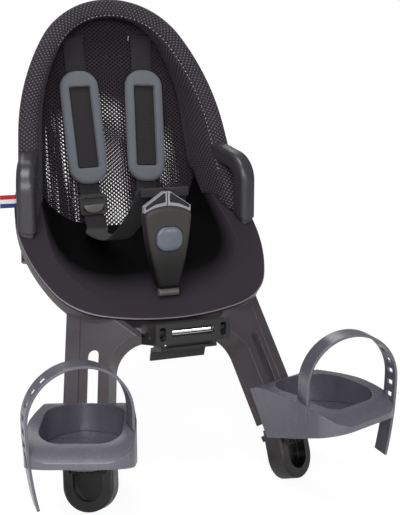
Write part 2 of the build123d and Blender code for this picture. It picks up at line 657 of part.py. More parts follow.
bracket_back = BRACKET_DEPTH - BRACKET_WALL
housing_side = Polygon(
    (0, BRACKET_TOP), (0, BRACKET_FOOT),
    (BRACKET_DEPTH, bracket_line(BRACKET_FOOT, BRACKET_DEPTH)),
    (BRACKET_DEPTH, bracket_line(BRACKET_TOP, BRACKET_DEPTH)), align=None,
)
ceiling = BRACKET_TOP - BRACKET_WALL
housing_room = Polygon(
    (BRACKET_WALL, bracket_line(ceiling, BRACKET_WALL)), (BRACKET_WALL, -FAR),
    (bracket_back, -FAR), (bracket_back, bracket_line(ceiling, bracket_back)), align=None,
)
housing = extrude(Plane.YZ * housing_side, BRACKET_HALF, both=True)
housing -= extrude(Plane.YZ * housing_room, BRACKET_HALF - BRACKET_WALL, both=True)
bracket_face = Plane((0, 0, 0), (1, 0, 0), (0, -1, 0))
face_cuts = Sketch() + RectangleRounded(2 * WINDOW_HALF, WINDOW_HIGH, WINDOW_HIGH / 3)
for side in (-1, 1):
    hook_slot = SlotOverall(BRACKET_SLOT_HIGH, BRACKET_SLOT_WIDE, rotation=90)
    face_cuts += Pos(side * BRACKET_SLOT_X, (BRACKET_TOP + BRACKET_FOOT) / 2) * hook_slot
housing -= extrude(bracket_face * face_cuts, -BRACKET_WALL)
pivot_hole = Pos(0, PIVOT_Y, PIVOT_Z) * Rot(0, 90, 0) * Cylinder(PIVOT_RADIUS + GAP, 3 * BRACKET_HALF)
housing = housing - pivot_hole - screw_holes
save("mount_housing", housing)
lock_bar = Rot(0, 90, 0) * Cylinder(BAR_RADIUS, 2 * (BRACKET_HALF - BRACKET_WALL - GAP))
lock_bar = Pos(0, BAR_Y, BAR_Z) * lock_bar
save("lock_bar", lock_bar)
pivot = Pos(0, PIVOT_Y, PIVOT_Z) * Rot(0, 90, 0) * Cylinder(PIVOT_RADIUS, 2 * BRACKET_HALF)
save("lever_pin", pivot)
screws = []
for seat in screw_seats:
    head = Pos(0, 0, -BRACKET_WALL - GAP - SCREW_HEAD_HIGH / 2) * Cylinder(SCREW_HEAD, SCREW_HEAD_HIGH)
    shank_low = -BRACKET_WALL - GAP - SCREW_HEAD_HIGH
    shank = Pos(0, 0, (SCREW_REACH + shank_low) / 2) * Cylinder(SCREW_RADIUS, SCREW_REACH - shank_low)
    screws.append(seat * (head + shank))
save("housing_screws", *screws)

# Release lever: two cheeks on the pin, a plate under the housing and a finger edge behind
lever_nose = bracket_line(BRACKET_FOOT, LEVER_NOSE_Y) - LEVER_DROP
lever_tail = bracket_line(BRACKET_FOOT, LEVER_TAIL_Y) - LEVER_DROP
lever_tip = LEVER_TAIL_Y + LEVER_FINGER_LEAN
lever_side = Polygon(
    (LEVER_NOSE_Y, lever_nose), (LEVER_TAIL_Y, lever_tail),
    (lever_tip, lever_tail - LEVER_FINGER), (lever_tip - LEVER_PLATE, lever_tail - LEVER_FINGER),
    (LEVER_TAIL_Y - LEVER_PLATE, lever_tail - LEVER_PLATE),
    (LEVER_NOSE_Y, lever_nose - LEVER_PLATE), align=None,
)
lever = extrude(Plane.YZ * lever_side, LEVER_HALF, both=True)
cheek_side = Polygon(
    (PIVOT_Y - PIVOT_HUB, PIVOT_Z), (PIVOT_Y + PIVOT_HUB, PIVOT_Z),
    (LEVER_TAIL_Y - PIVOT_HUB, lever_tail - LEVER_PLATE / 2),
    (LEVER_NOSE_Y, lever_nose - LEVER_PLATE / 2), align=None,
)
cheek_side += Pos(PIVOT_Y, PIVOT_Z) * Circle(PIVOT_HUB)
cheek = extrude(Plane.YZ * cheek_side, LEVER_CHEEK / 2, both=True)
for side in (-1, 1):
    lever += Pos(side * (LEVER_HALF - LEVER_CHEEK / 2), 0, 0) * cheek
lever -= pivot_hole
save("release_lever", lever)


# Foot cups: a heel-shaped tray with a broad lip, carried on the leg's face
def slot_spot(down):
    """The point of the leg slot's middle line at a depth."""
    along = down / (cos(radians(LEG_LEAN)) * cos(radians(LEG_ROLL)))
    return LEG_FACE.from_local_coords(Vector(0, -along, 0))


def cup_plan(inset):
    """The cup's outline from above, narrow at the heel and rounded at the toe."""
    heel_half = CUP_HEEL_HALF - inset
    half = CUP_HALF - inset
    toe = inset - CUP_REACH
    outline = Polygon(
        (heel_half, 0), (half, -CUP_WIDEST), (half, toe),
        (-half, toe), (-half, -CUP_WIDEST), (-heel_half, 0), align=None,
    )
    return extrude(fillet(outline.vertices().group_by(Axis.Y)[0], CUP_CORNER - inset), FAR, both=True)


def cup_side(points):
    """A body as wide as the cup with an outline of forward and downward distances."""
    return extrude(SIDE_VIEW * Polygon(*points, align=None), CUP_HALF, both=True)


toe_floor = CUP_REACH - CUP_TOE_LIP
lip_foot = (CUP_REACH, CUP_LIP_FOOT)
lip_top = (CUP_REACH, CUP_LIP_TOP)
crest = (CUP_CREST, CUP_CREST_TOP)
heel_top = (0, CUP_HEEL_TOP)
heel_foot = (0, CUP_HEEL_FOOT)
cup_under = Polyline(heel_top, heel_foot, (CUP_SOLE, CUP_HEEL_FOOT), lip_foot, lip_top)
cup_brim = Spline(lip_top, (toe_floor, CUP_TOE_LIP_TOP), crest, heel_top)
cup_outline = make_face(list(cup_under.edges()) + [cup_brim])
cup = extrude(SIDE_VIEW * cup_outline, CUP_HALF, both=True) & cup_plan(0)
room_front = Pos(0, -toe_floor / 2 - CUP_ROOM_BACK / 2 - CUP_ROOM_HALF / 2)
room = room_front * Rectangle(2 * CUP_ROOM_HALF, toe_floor - CUP_ROOM_BACK - CUP_ROOM_HALF)
room = fillet(room.vertices().group_by(Axis.Y)[0], CUP_ROOM_CORNER)
room += Pos(0, -CUP_ROOM_BACK - CUP_ROOM_HALF) * Circle(CUP_ROOM_HALF)
cavity = cup_side([
    (0, 0), (0, CUP_FLOOR), (CUP_SOLE, CUP_FLOOR),
    (toe_floor, CUP_TOE_FLOOR), (toe_floor, 0),
])
cup -= cavity & extrude(room, FAR, both=True)
under_top = CUP_FLOOR + CUP_WALL
under_low = CUP_HEEL_FOOT + CUP_WALL
under_toe = CUP_TOE_FLOOR + CUP_WALL
under = cup_side([
    (0, under_top), (0, under_low), (CUP_REACH, under_low),
    (CUP_REACH, under_toe), (toe_floor, under_toe), (CUP_SOLE, under_top),
])
under = CUP_FRAME * (under & cup_plan(CUP_WALL)) & slab(LEG_FACE, CUP_BACK, FAR)
cup = (CUP_FRAME * cup & slab(LEG_FACE, GAP, FAR)) - under
turned = Plane(LEG_FRAME)
plunger_start = LOCK_PLUNGER * tan(radians(LEG_LEAN)) + RUN_GAP
plunger_axis = Plane(slot_spot(LOCK_AXIS), turned.x_dir, -turned.y_dir).offset(plunger_start)
cup -= extrude(plunger_axis * Circle(LOCK_PLUNGER + GAP), 3 * LOCK_PLUNGER, both=True)
strap_plane = Plane((0, STRAP_Y, 0), (1, 0, 0), (0, -1, 0))
strap_inner = STRAP_CENTRE_X - STRAP_RADIUS
strap_outer = STRAP_CENTRE_X + STRAP_RADIUS
strap_rise = Line((strap_inner, STRAP_ROOT_Z), (strap_inner, STRAP_CENTRE_Z))
strap_bow = JernArc(strap_rise @ 1, (0, 1), STRAP_RADIUS, -180)
strap_end = TangentArc((strap_outer, STRAP_CENTRE_Z), (STRAP_END_X, STRAP_END_Z), tangent=(0, -1))
strap_route = Wire([strap_rise, strap_bow, strap_end])
strap_route = strap_plane * strap_route


def strap_body(margin):
    """The foot strap, or the room it takes when a margin is given."""
    start = Plane(strap_route @ 0, x_dir=(0, 1, 0), z_dir=strap_route % 0)
    return sweep(start * Rectangle(STRAP_WIDTH + 2 * margin, STRAP_THICK + 2 * margin), strap_route)


cup -= strap_body(GAP)
save("foot_cup_right", cup)
save("foot_cup_left", other_side(cup))

# Foot straps: a stiff band with a row of adjusting holes on its outer side
foot_strap = strap_body(0)
for hole in range(STRAP_HOLES):
    reach = strap_route.length - STRAP_FREE_END - hole * STRAP_HOLE_STEP
    spot = strap_route.location_at(reach, position_mode=PositionMode.LENGTH)
    across = (strap_route % (reach / strap_route.length)).cross(Vector(0, 1, 0))
    opening = Plane(spot.position, (0, 1, 0), across) * Rectangle(STRAP_HOLE_LONG, STRAP_HOLE_HIGH)
    foot_strap -= extrude(opening, STRAP_THICK, both=True)
save("foot_strap_right", foot_strap)
save("foot_strap_left", other_side(foot_strap))

# Slider blocks: a shoe behind the leg's plate with a neck through its slot
slider_spot = Pos(0, -BLOCK_TOP - BLOCK_HEIGHT / 2)
slider_shoe = slider_spot * Rectangle(2 * BLOCK_HALF, BLOCK_HEIGHT)
slider_neck = slider_spot * Rectangle(SLOT_WIDTH - 2 * GAP, BLOCK_HEIGHT)
slider = extrude(LEG_FACE.offset(-LEG_PLATE - RUN_GAP) * slider_shoe, -BLOCK_THICK)
slider += extrude(LEG_FACE * slider_neck, -LEG_PLATE - BLOCK_THICK)
save("slider_block_right", slider)
save("slider_block_left", other_side(slider))

# Height locks: a half-round pull under the cup on a plunger through its back wall
pull_back = CUP_BACK / cos(radians(LEG_LEAN)) + RUN_GAP
pull_face = Plane(slot_spot(LOCK_FOOT) - turned.y_dir * pull_back, turned.x_dir, (0, 0, 1))
pull = Circle(LOCK_HALF) - Pos(0, LOCK_HALF) * Rectangle(2 * LOCK_HALF, 2 * LOCK_HALF)
pull_ahead = (LOCK_FOOT - LOCK_AXIS) * tan(radians(LEG_LEAN)) + pull_back
plunger_reach = pull_ahead + LOCK_PLUNGER - plunger_start
height_lock = extrude(pull_face * pull, LOCK_FOOT - LOCK_TOP)
height_lock += extrude(plunger_axis * Circle(LOCK_PLUNGER), plunger_reach)
save("height_lock_right", height_lock)
save("height_lock_left", other_side(height_lock))

# Lock pawls: a toothed tongue that hangs under the cup's heel
pawl_top = -CUP_HEEL_FOOT / cos(radians(LEG_LEAN))
pawl_low = pawl_top - PAWL_HEIGHT
pawl = Pos(0, (pawl_top + pawl_low) / 2) * Rectangle(2 * PAWL_HALF, PAWL_HEIGHT)
tooth_step = 2 * PAWL_HALF / PAWL_TEETH
for tooth in range(PAWL_TEETH):
    across = (tooth + 0.5) * tooth_step - PAWL_HALF
    pawl -= Pos(across, pawl_low + PAWL_TOOTH / 2) * Rectangle(tooth_step / 2, PAWL_TOOTH)
pawl = extrude(LEG_FACE.offset(GAP) * pawl, PAWL_THICK) & slab(Plane.XY, -FAR, LEG_Z - CUP_HEEL_FOOT - GAP)
save("lock_pawl_right", pawl)
save("lock_pawl_left", other_side(pawl))
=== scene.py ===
"""Looks of a front bicycle seat for a small child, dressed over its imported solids."""

import logging
import math
from dataclasses import dataclass
from enum import Enum
from typing import Any, Optional, Sequence, Union

import bmesh
import bpy
from mathutils import Matrix, Vector
from mathutils.bvhtree import BVHTree

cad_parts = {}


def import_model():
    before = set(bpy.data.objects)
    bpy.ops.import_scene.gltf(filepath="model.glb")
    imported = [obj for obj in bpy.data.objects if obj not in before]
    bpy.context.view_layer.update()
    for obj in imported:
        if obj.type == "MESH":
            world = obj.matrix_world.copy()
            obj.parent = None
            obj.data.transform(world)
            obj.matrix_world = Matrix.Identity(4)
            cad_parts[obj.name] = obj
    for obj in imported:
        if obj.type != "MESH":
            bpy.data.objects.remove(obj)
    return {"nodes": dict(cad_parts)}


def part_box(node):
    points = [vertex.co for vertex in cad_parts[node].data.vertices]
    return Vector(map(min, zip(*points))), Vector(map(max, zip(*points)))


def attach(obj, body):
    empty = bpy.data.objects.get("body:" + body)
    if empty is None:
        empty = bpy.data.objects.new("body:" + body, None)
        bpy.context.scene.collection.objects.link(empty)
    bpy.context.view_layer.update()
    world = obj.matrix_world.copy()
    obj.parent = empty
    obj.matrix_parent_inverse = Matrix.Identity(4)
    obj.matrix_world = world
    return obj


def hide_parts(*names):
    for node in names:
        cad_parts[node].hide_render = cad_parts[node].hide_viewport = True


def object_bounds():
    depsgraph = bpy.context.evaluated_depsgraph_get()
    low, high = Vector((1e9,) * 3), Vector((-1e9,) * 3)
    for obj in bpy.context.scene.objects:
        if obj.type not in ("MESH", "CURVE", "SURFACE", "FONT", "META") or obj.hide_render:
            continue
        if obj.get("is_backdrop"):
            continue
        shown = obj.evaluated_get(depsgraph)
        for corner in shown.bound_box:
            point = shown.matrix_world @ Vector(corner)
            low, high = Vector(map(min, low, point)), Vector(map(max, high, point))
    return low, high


LOG = logging.getLogger("seat")
MM = 0.001
TURN = 2 * math.pi
WELD = 0.000002
IMAGE_HIGH = 515
Pair = tuple[float, float]
Triple = tuple[float, float, float]


class Side(Enum):
    """The two sides of the seat, by the sign of their X."""

    RIGHT = 1
    LEFT = -1

    @property
    def word(self) -> str:
        """The side's name as the nodes write it."""
        return self.name.lower()

    def flip(self, point: Vector) -> Vector:
        """A right-hand point moved to this side."""
        return Vector((point.x * self.value, point.y, point.z))


class Body(Enum):
    """The rigid bodies that carry pieces of this scene."""

    SEAT = "seat"
    BUTTON = "button"
    FOOT_RIGHT = "footrest_right"
    FOOT_LEFT = "footrest_left"


# Places and outlines, in millimetres


@dataclass(frozen=True)
class Slant:
    """A leaning plane, square to the seat's middle plane."""

    back: float
    up: float
    lean: float

    def at(self, across: float, along: float, out: float = 0.0) -> Vector:
        """A point of the plane.

        Args:
            across: Distance to the side.
            along: Distance up the plane.
            out: Distance in front of it.

        Returns:
            The point in millimetres.
        """
        slope = math.radians(self.lean)
        y = self.back + along * math.sin(slope) - out * math.cos(slope)
        z = self.up + along * math.cos(slope) + out * math.sin(slope)
        return Vector((across, y, z))

    @property
    def normal(self) -> Vector:
        """The plane's forward direction."""
        slope = math.radians(self.lean)
        return Vector((0.0, -math.cos(slope), math.sin(slope)))


@dataclass(frozen=True)
class Arch:
    """Half an arch in a plane: two tangent arcs and a straight post."""

    top: float
    radii: Pair
    sweeps: Pair
    foot: float

    def half(self, inset: float, counts: tuple[int, int, int]) -> list[Pair]:
        """Points from the crown to the foot.

        Args:
            inset: How far the arch is moved in.
            counts: Steps along the crown, the side and the post.

        Returns:
            Pairs of distance across and up the plane.
        """
        crown, side = (radius - inset for radius in self.radii)
        first, second = (math.radians(sweep) for sweep in self.sweeps)
        points = []
        for step in range(counts[0]):
            angle = first * step / counts[0]
            points.append((crown * math.sin(angle), self.top - inset - crown * (1 - math.cos(angle))))
        knee = (crown * math.sin(first), self.top - inset - crown * (1 - math.cos(first)))
        for step in range(counts[1] + 1):
            angle = first + second * step / counts[1]
            x = knee[0] + side * (math.sin(angle) - math.sin(first))
            points.append((x, knee[1] - side * (math.cos(first) - math.cos(angle))))
        hip = points[-1]
        for step in range(1, counts[2] + 1):
            drop = (hip[1] - self.foot) * step / counts[2]
            points.append((hip[0] + drop / math.tan(first + second), hip[1] - drop))
        return points

    def whole(self, inset: float, counts: tuple[int, int, int]) -> list[Pair]:
        """Points from the left foot over the crown to the right foot."""
        right = self.half(inset, counts)
        return [(-x, up) for x, up in reversed(right[1:])] + right


RIM = Slant(back=52.0, up=1.7, lean=59.0)
HOOP = Slant(back=226.7, up=165.9, lean=22.4)
PANEL = Slant(back=308.0, up=287.0, lean=13.2)
HOOP_ARCH = Arch(top=180.0, radii=(100.0, 275.0), sweeps=(58.0, 26.0), foot=-92.0)
PANEL_ARCH = Arch(top=30.0, radii=(70.0, 230.0), sweeps=(62.0, 24.0), foot=-250.0)
STRAP_ACROSS = 42.9
MESH_PITCH = (5.8, 4.7)
LEG_TOP = (89.6, 55.0, -25.2)


# Shader maths


class Wire:
    """A shader socket that takes part in Python expressions."""

    def __init__(self, tree: bpy.types.NodeTree, socket: bpy.types.NodeSocket) -> None:
        """Keeps the tree and the output socket."""
        self.tree = tree
        self.socket = socket

    def _math(self, operation: str, first: "Value", second: "Value" = 0.0) -> "Wire":
        """Adds one Math node.

        Args:
            operation: The Math node's operation.
            first: Its first value or wire.
            second: Its second value or wire.

        Returns:
            The node's output as a wire.
        """
        node = self.tree.nodes.new("ShaderNodeMath")
        node.operation = operation
        for slot, value in enumerate((first, second)):
            if isinstance(value, Wire):
                self.tree.links.new(value.socket, node.inputs[slot])
            else:
                node.inputs[slot].default_value = value
        return Wire(self.tree, node.outputs[0])

    def __add__(self, other: "Value") -> "Wire":
        """Sum."""
        return self._math("ADD", self, other)

    def __radd__(self, other: "Value") -> "Wire":
        """Sum with a number on the left."""
        return self._math("ADD", other, self)

    def __sub__(self, other: "Value") -> "Wire":
        """Difference."""
        return self._math("SUBTRACT", self, other)

    def __rsub__(self, other: "Value") -> "Wire":
        """Difference with a number on the left."""
        return self._math("SUBTRACT", other, self)

    def __mul__(self, other: "Value") -> "Wire":
        """Product."""
        return self._math("MULTIPLY", self, other)

    def __rmul__(self, other: "Value") -> "Wire":
        """Product with a number on the left."""
        return self._math("MULTIPLY", other, self)

    def __gt__(self, other: "Value") -> "Wire":
        """One where this is the greater, else nought."""
        return self._math("GREATER_THAN", self, other)

    def sine(self) -> "Wire":
        """Sine of the value in radians."""
        return self._math("SINE", self)

    def top(self, other: "Value") -> "Wire":
        """The greater of two values."""
        return self._math("MAXIMUM", self, other)

    def share(self) -> "Wire":
        """The value held between nought and one."""
        return self._math("MINIMUM", self.top(0.0), 1.0)


Value = Union[Wire, float]


class Shade:
    """One material's node tree, with a Principled shader at its end."""

    def __init__(self, name: str) -> None:
        """Makes an empty material.

        Args:
            name: The material's name.
        """
        self.material = bpy.data.materials.new(name)
        self.material.use_nodes = True
        self.tree = self.material.node_tree
        self.shader = next(n for n in self.tree.nodes if n.type == "BSDF_PRINCIPLED")

    def node(
        self, kind: str, settings: Optional[dict[str, Any]] = None, out: Union[str, int] = 0, **sockets: Any
    ) -> Wire:
        """Adds any node.

        Args:
            kind: The node's type without its ShaderNode prefix.
            settings: Properties set before the sockets.
            out: The output that is wanted.
            **sockets: Values or wires by socket name with underscores for spaces, or by number as n0.

        Returns:
            The wanted output.
        """
        node = self.tree.nodes.new("ShaderNode" + kind)
        for key, value in (settings or {}).items():
            setattr(node, key, value)
        for key, value in sockets.items():
            name = int(key[1:]) if key[0] == "n" and key[1:].isdigit() else key.replace("_", " ")
            self.feed(node.inputs[name], value)
        return Wire(self.tree, node.outputs[out])

    def feed(self, socket: bpy.types.NodeSocket, value: Any) -> None:
        """Sets a socket to a value, or links a wire to it.

        Args:
            socket: The input socket.
            value: A wire, a number, or a colour without its alpha.
        """
        if isinstance(value, Wire):
            self.tree.links.new(value.socket, socket)
        elif isinstance(value, tuple) and len(value) == 3 and socket.type == "RGBA":
            socket.default_value = (*value, 1.0)
        else:
            socket.default_value = value

    def set(self, **sockets: Any) -> None:
        """Feeds the shader's own sockets by name, with underscores for spaces."""
        for key, value in sockets.items():
            self.feed(self.shader.inputs[key.replace("_", " ")], value)

    def place(self) -> Wire:
        """The piece's own coordinates in metres."""
        return self.node("TexCoord", out="Object")

    def axes(self, vector: Wire) -> tuple[Wire, Wire, Wire]:
        """Splits a vector.

        Args:
            vector: The vector.

        Returns:
            Its three parts.
        """
        first = self.node("SeparateXYZ", Vector=vector)
        outputs = first.socket.node.outputs
        return (first, Wire(self.tree, outputs[1]), Wire(self.tree, outputs[2]))

    def noise(self, scale: float, detail: float = 4.0, vector: Optional[Wire] = None) -> Wire:
        """Soft random values between nought and one."""
        return self.node("TexNoise", out="Fac", Vector=vector or self.place(), Scale=scale, Detail=detail)

    def blend(self, share: Value, first: Any, second: Any) -> Wire:
        """Mixes two colours by a share."""
        return self.node("Mix", {"data_type": "RGBA"}, out=2, n0=share, n6=first, n7=second)

    def bump(self, height: Wire, reach: float, strength: float = 1.0, **normal: Wire) -> None:
        """Feeds a height to the shader's normal."""
        lift = self.node("Bump", out="Normal", Height=height, Distance=reach, Strength=strength, **normal)
        self.set(Normal=lift)


def tint(red: int, green: int, blue: int) -> Triple:
    """Turns a screen colour into the linear values that a shader takes.

    Args:
        red: Red from 0 to 255.
        green: Green from 0 to 255.
        blue: Blue from 0 to 255.

    Returns:
        The linear colour.
    """
    linear = []
    for level in (red, green, blue):
        part = level / 255
        linear.append(part / 12.92 if part <= 0.04045 else ((part + 0.055) / 1.055) ** 2.4)
    return (linear[0], linear[1], linear[2])


def scaled(colour: Triple, factor: float) -> Triple:
    """A colour made lighter or darker."""
    return (min(1.0, colour[0] * factor), min(1.0, colour[1] * factor), min(1.0, colour[2] * factor))


# Finishes


@dataclass(frozen=True)
class Fade:
    """Painted shade: a slow darkening of a finish along one direction, in metres."""

    ahead: Triple
    start: float
    span: float
    floor: float

    def apply(self, shade: Shade, colour: Wire, dark: Triple) -> Wire:
        """Mixes a colour towards its painted shade.

        Args:
            shade: The material that the nodes are made in.
            colour: The finish's colour.
            dark: The finish's plain colour, which the floor is a share of.

        Returns:
            The colour with its painted shade.
        """
        place = shade.place()
        height = shade.node("VectorMath", {"operation": "DOT_PRODUCT"}, out="Value", n0=place, n1=self.ahead)
        sunk = ((self.start - height) * (1 / self.span)).share()
        return shade.blend(sunk, colour, scaled(dark, self.floor))


@dataclass(frozen=True)
class MouldedPlastic:
    """Moulded plastic: fine eroded grain, faint flow marks, slightly rounded edges lightened as rubbed wear
    and painted highlight, optional painted shade.
    """

    name: str
    colour: Triple
    rough: float = 0.45
    grain: float = 1600.0
    depth: float = 0.00005
    mottle: float = 0.14
    edge: float = 0.0012
    gloss: float = 0.3
    wear: float = 1.7
    rub: float = 0.5
    cloud: float = 38.0
    swing: Triple = (0.16, 0.1, 0.08)
    fade: Optional[Fade] = None

    def make(self) -> bpy.types.Material:
        """Builds the material.

        Returns:
            The finished material.
        """
        shade = Shade(self.name)
        grain = shade.noise(self.grain, 2.0)
        cloud = shade.noise(self.cloud, 5.0)
        rounded = shade.node("Bevel", {"samples": 4}, Radius=self.edge)
        straight = shade.node("NewGeometry", out="Normal")
        match = shade.node("VectorMath", {"operation": "DOT_PRODUCT"}, out="Value", n0=rounded, n1=straight)
        # Edges lightened from the bevelled normals: rubbed wear, and on the pan a painted highlight along
        # its rim.
        rubbed_and_lit_edges = ((1.0 - match) * 2.5).share()
        body = shade.blend(cloud, scaled(self.colour, 1 - self.mottle), scaled(self.colour, 1 + self.mottle))
        # Painted shade along one direction, where the finish has one.
        if self.fade:
            body = self.fade.apply(shade, body, self.colour)
        slow, fine, smoothed = self.swing
        shade.set(
            Base_Color=shade.blend(rubbed_and_lit_edges * self.rub, body, scaled(self.colour, self.wear)),
            Roughness=self.rough + (cloud - 0.5) * slow + (grain - 0.5) * fine - rubbed_and_lit_edges * smoothed,
            Specular_IOR_Level=self.gloss,
        )
        shade.bump(grain, self.depth, Normal=rounded)
        return shade.material


@dataclass(frozen=True)
class Polished:
    """Bright plated steel with faint drawing lines, and with blackened ends beyond its reach."""

    name: str
    reach: float = 1.0
    blur: float = 0.003
    colour: Triple = (0.78, 0.78, 0.8)
    ends: Triple = tint(24, 24, 25)
    drawn: Triple = (20.0, 900.0, 900.0)
    rough: float = 0.14

    def make(self) -> bpy.types.Material:
        """Builds the material.

        Returns:
            The finished material.
        """
        shade = Shade(self.name)
        stretch = shade.node("Mapping", Vector=shade.place(), Scale=self.drawn)
        lines = shade.noise(1.0, 3.0, stretch)
        across, _, _ = shade.axes(shade.place())
        beyond = across * across - (self.reach - self.blur) ** 2
        dull = (beyond * (0.5 / (self.reach * self.blur))).share()
        bright = shade.blend(lines, scaled(self.colour, 0.9), self.colour)
        shade.set(
            Base_Color=shade.blend(dull, bright, self.ends),
            Roughness=self.rough + lines * 0.08 + dull * 0.4,
            Metallic=1.0 - dull,
        )
        shade.bump(lines, 0.00002)
        return shade.material


@dataclass(frozen=True)
class WovenWeb:
    """Flat woven strap: cross ribs along it and two selvedges."""

    name: str
    colour: Triple
    rib: float = 1.7
    cord: float = 1.3

    def make(self) -> bpy.types.Material:
        """Builds the material from a UV map in millimetres.

        Returns:
            The finished material.
        """
        shade = Shade(self.name)
        across, along, _ = shade.axes(shade.node("UVMap"))
        ribs = (along * (TURN / self.rib)).sine() * 0.5 + 0.5
        sway = (along * (TURN / (2 * self.rib))).sine() * 1.2
        cords = (across * (TURN / self.cord) + sway).sine() * 0.5 + 0.5
        weave = ribs * 0.65 + cords * 0.35
        fuzz = shade.noise(900.0, 3.0)
        tone = weave * 0.8 + fuzz * 0.2
        shade.set(
            Base_Color=shade.blend(tone, scaled(self.colour, 0.6), scaled(self.colour, 1.5)),
            Roughness=0.62 + fuzz * 0.25,
            Sheen_Weight=0.12,
            Sheen_Roughness=0.4,
            Specular_IOR_Level=0.2,
        )
        shade.bump(weave, 0.00035, 0.8)
        return shade.material


@dataclass(frozen=True)
class MeshCloth:
    """Dark spacer mesh with staggered pale dots, painted light seen through its holes."""

    name: str
    colour: Triple
    # Painted light: the pale colour seen through the mesh's holes.
    under: Triple
    pitch: Pair = MESH_PITCH

    def make(self) -> bpy.types.Material:
        """Builds the material from a UV map in millimetres.

        Returns:
            The finished material.
        """
        shade = Shade(self.name)
        fuzz = shade.noise(1400.0, 3.0)
        patch = shade.noise(26.0, 2.0)
        across, along, _ = shade.axes(shade.node("UVMap"))
        # Staggered pale dots: painted light seen through the mesh's holes.
        wave = (across * (TURN / self.pitch[0])).sine() * (along * (TURN / self.pitch[1])).sine()
        dot = (wave * 2.4 - 0.75).share()
        # Painted shade: the dots dim towards the inner back edge of the walls.
        inner = 1.0 - 0.7 * shade.node("Attribute", {"attribute_name": "depth"}, out="Fac")
        thread = shade.blend(fuzz, scaled(self.colour, 0.7), scaled(self.colour, 1.4))
        shade.set(
            Base_Color=shade.blend(dot * inner * (patch * 0.8 + 0.45).share(), thread, self.under),
            Roughness=0.68 + dot * 0.1 + fuzz * 0.15,
            Specular_IOR_Level=0.2,
            Sheen_Weight=0.06,
        )
        shade.bump(1.0 - dot + fuzz * 0.2, 0.0006, 0.7)
        return shade.material


@dataclass(frozen=True)
class KnitThread:
    """Fuzzy matte yarn: the open net's dark thread, also the near-black lining and the pale beads of painted
    light.
    """

    name: str
    colour: Triple

    def make(self) -> bpy.types.Material:
        """Builds the material.

        Returns:
            The finished material.
        """
        shade = Shade(self.name)
        fuzz = shade.noise(1400.0, 3.0)
        shade.set(
            Base_Color=shade.blend(fuzz, scaled(self.colour, 0.6), scaled(self.colour, 1.5)),
            Roughness=0.7 + fuzz * 0.25,
            Specular_IOR_Level=0.15,
        )
        shade.bump(fuzz, 0.0001)
        return shade.material


@dataclass(frozen=True)
class FoamCloth:
    """Brushed laminate over foam: short nap, faint blotches and small pores."""

    name: str
    colour: Triple

    def make(self) -> bpy.types.Material:
        """Builds the material.

        Returns:
            The finished material.
        """
        shade = Shade(self.name)
        nap = shade.noise(1100.0, 6.0)
        blotch = shade.noise(55.0, 3.0)
        tone = nap * 0.6 + blotch * 0.4
        shade.set(
            Base_Color=shade.blend(tone, scaled(self.colour, 0.78), scaled(self.colour, 1.2)),
            Roughness=0.72 + nap * 0.2,
            Sheen_Weight=0.15,
            Sheen_Roughness=0.5,
            Specular_IOR_Level=0.25,
        )
        shade.bump(nap, 0.00025, 0.6)
        return shade.material


@dataclass(frozen=True)
class StripedRibbon:
    """Woven ribbon in three bands across its height, with fine ribs."""

    name: str
    bands: tuple[Triple, Triple, Triple]
    middle: float
    high: float
    rib: float = 9000.0
    groove: Triple = (0.02, 0.02, 0.02)

    def make(self) -> bpy.types.Material:
        """Builds the material on the piece's own height.

        Returns:
            The finished material.
        """
        shade = Shade(self.name)
        reach, _, height = shade.axes(shade.place())
        third = self.high / 6
        lower = shade.blend(height > self.middle - third, self.bands[2], self.bands[1])
        colour = shade.blend(height > self.middle + third, lower, self.bands[0])
        ribs = (reach * self.rib).sine() * 0.5 + 0.5
        shade.set(
            Base_Color=shade.blend(ribs * 0.15, colour, self.groove),
            Roughness=0.65 + ribs * 0.15,
        )
        shade.bump(ribs, 0.0001)
        return shade.material


# The dish goes darker below the rim: partly its darker plastic, partly painted shade.
DISH_DARK_PLASTIC_AND_SHADE = Fade(
    ahead=tuple(RIM.normal), start=RIM.at(0.0, 0.0).dot(RIM.normal) * MM - 0.002, span=0.010, floor=0.02
)
# Painted shadow: the frame goes darker towards the bottom of its legs.
SHOE_PAINTED_SHADOW = Fade(ahead=(0.0, 0.0, 1.0), start=-0.122, span=0.025, floor=0.06)
# Painted shade: the buckle goes darker towards its lower part.
BUCKLE_PAINTED_SHADE = Fade(ahead=(0.0, 0.0, 1.0), start=0.085, span=0.035, floor=0.18)


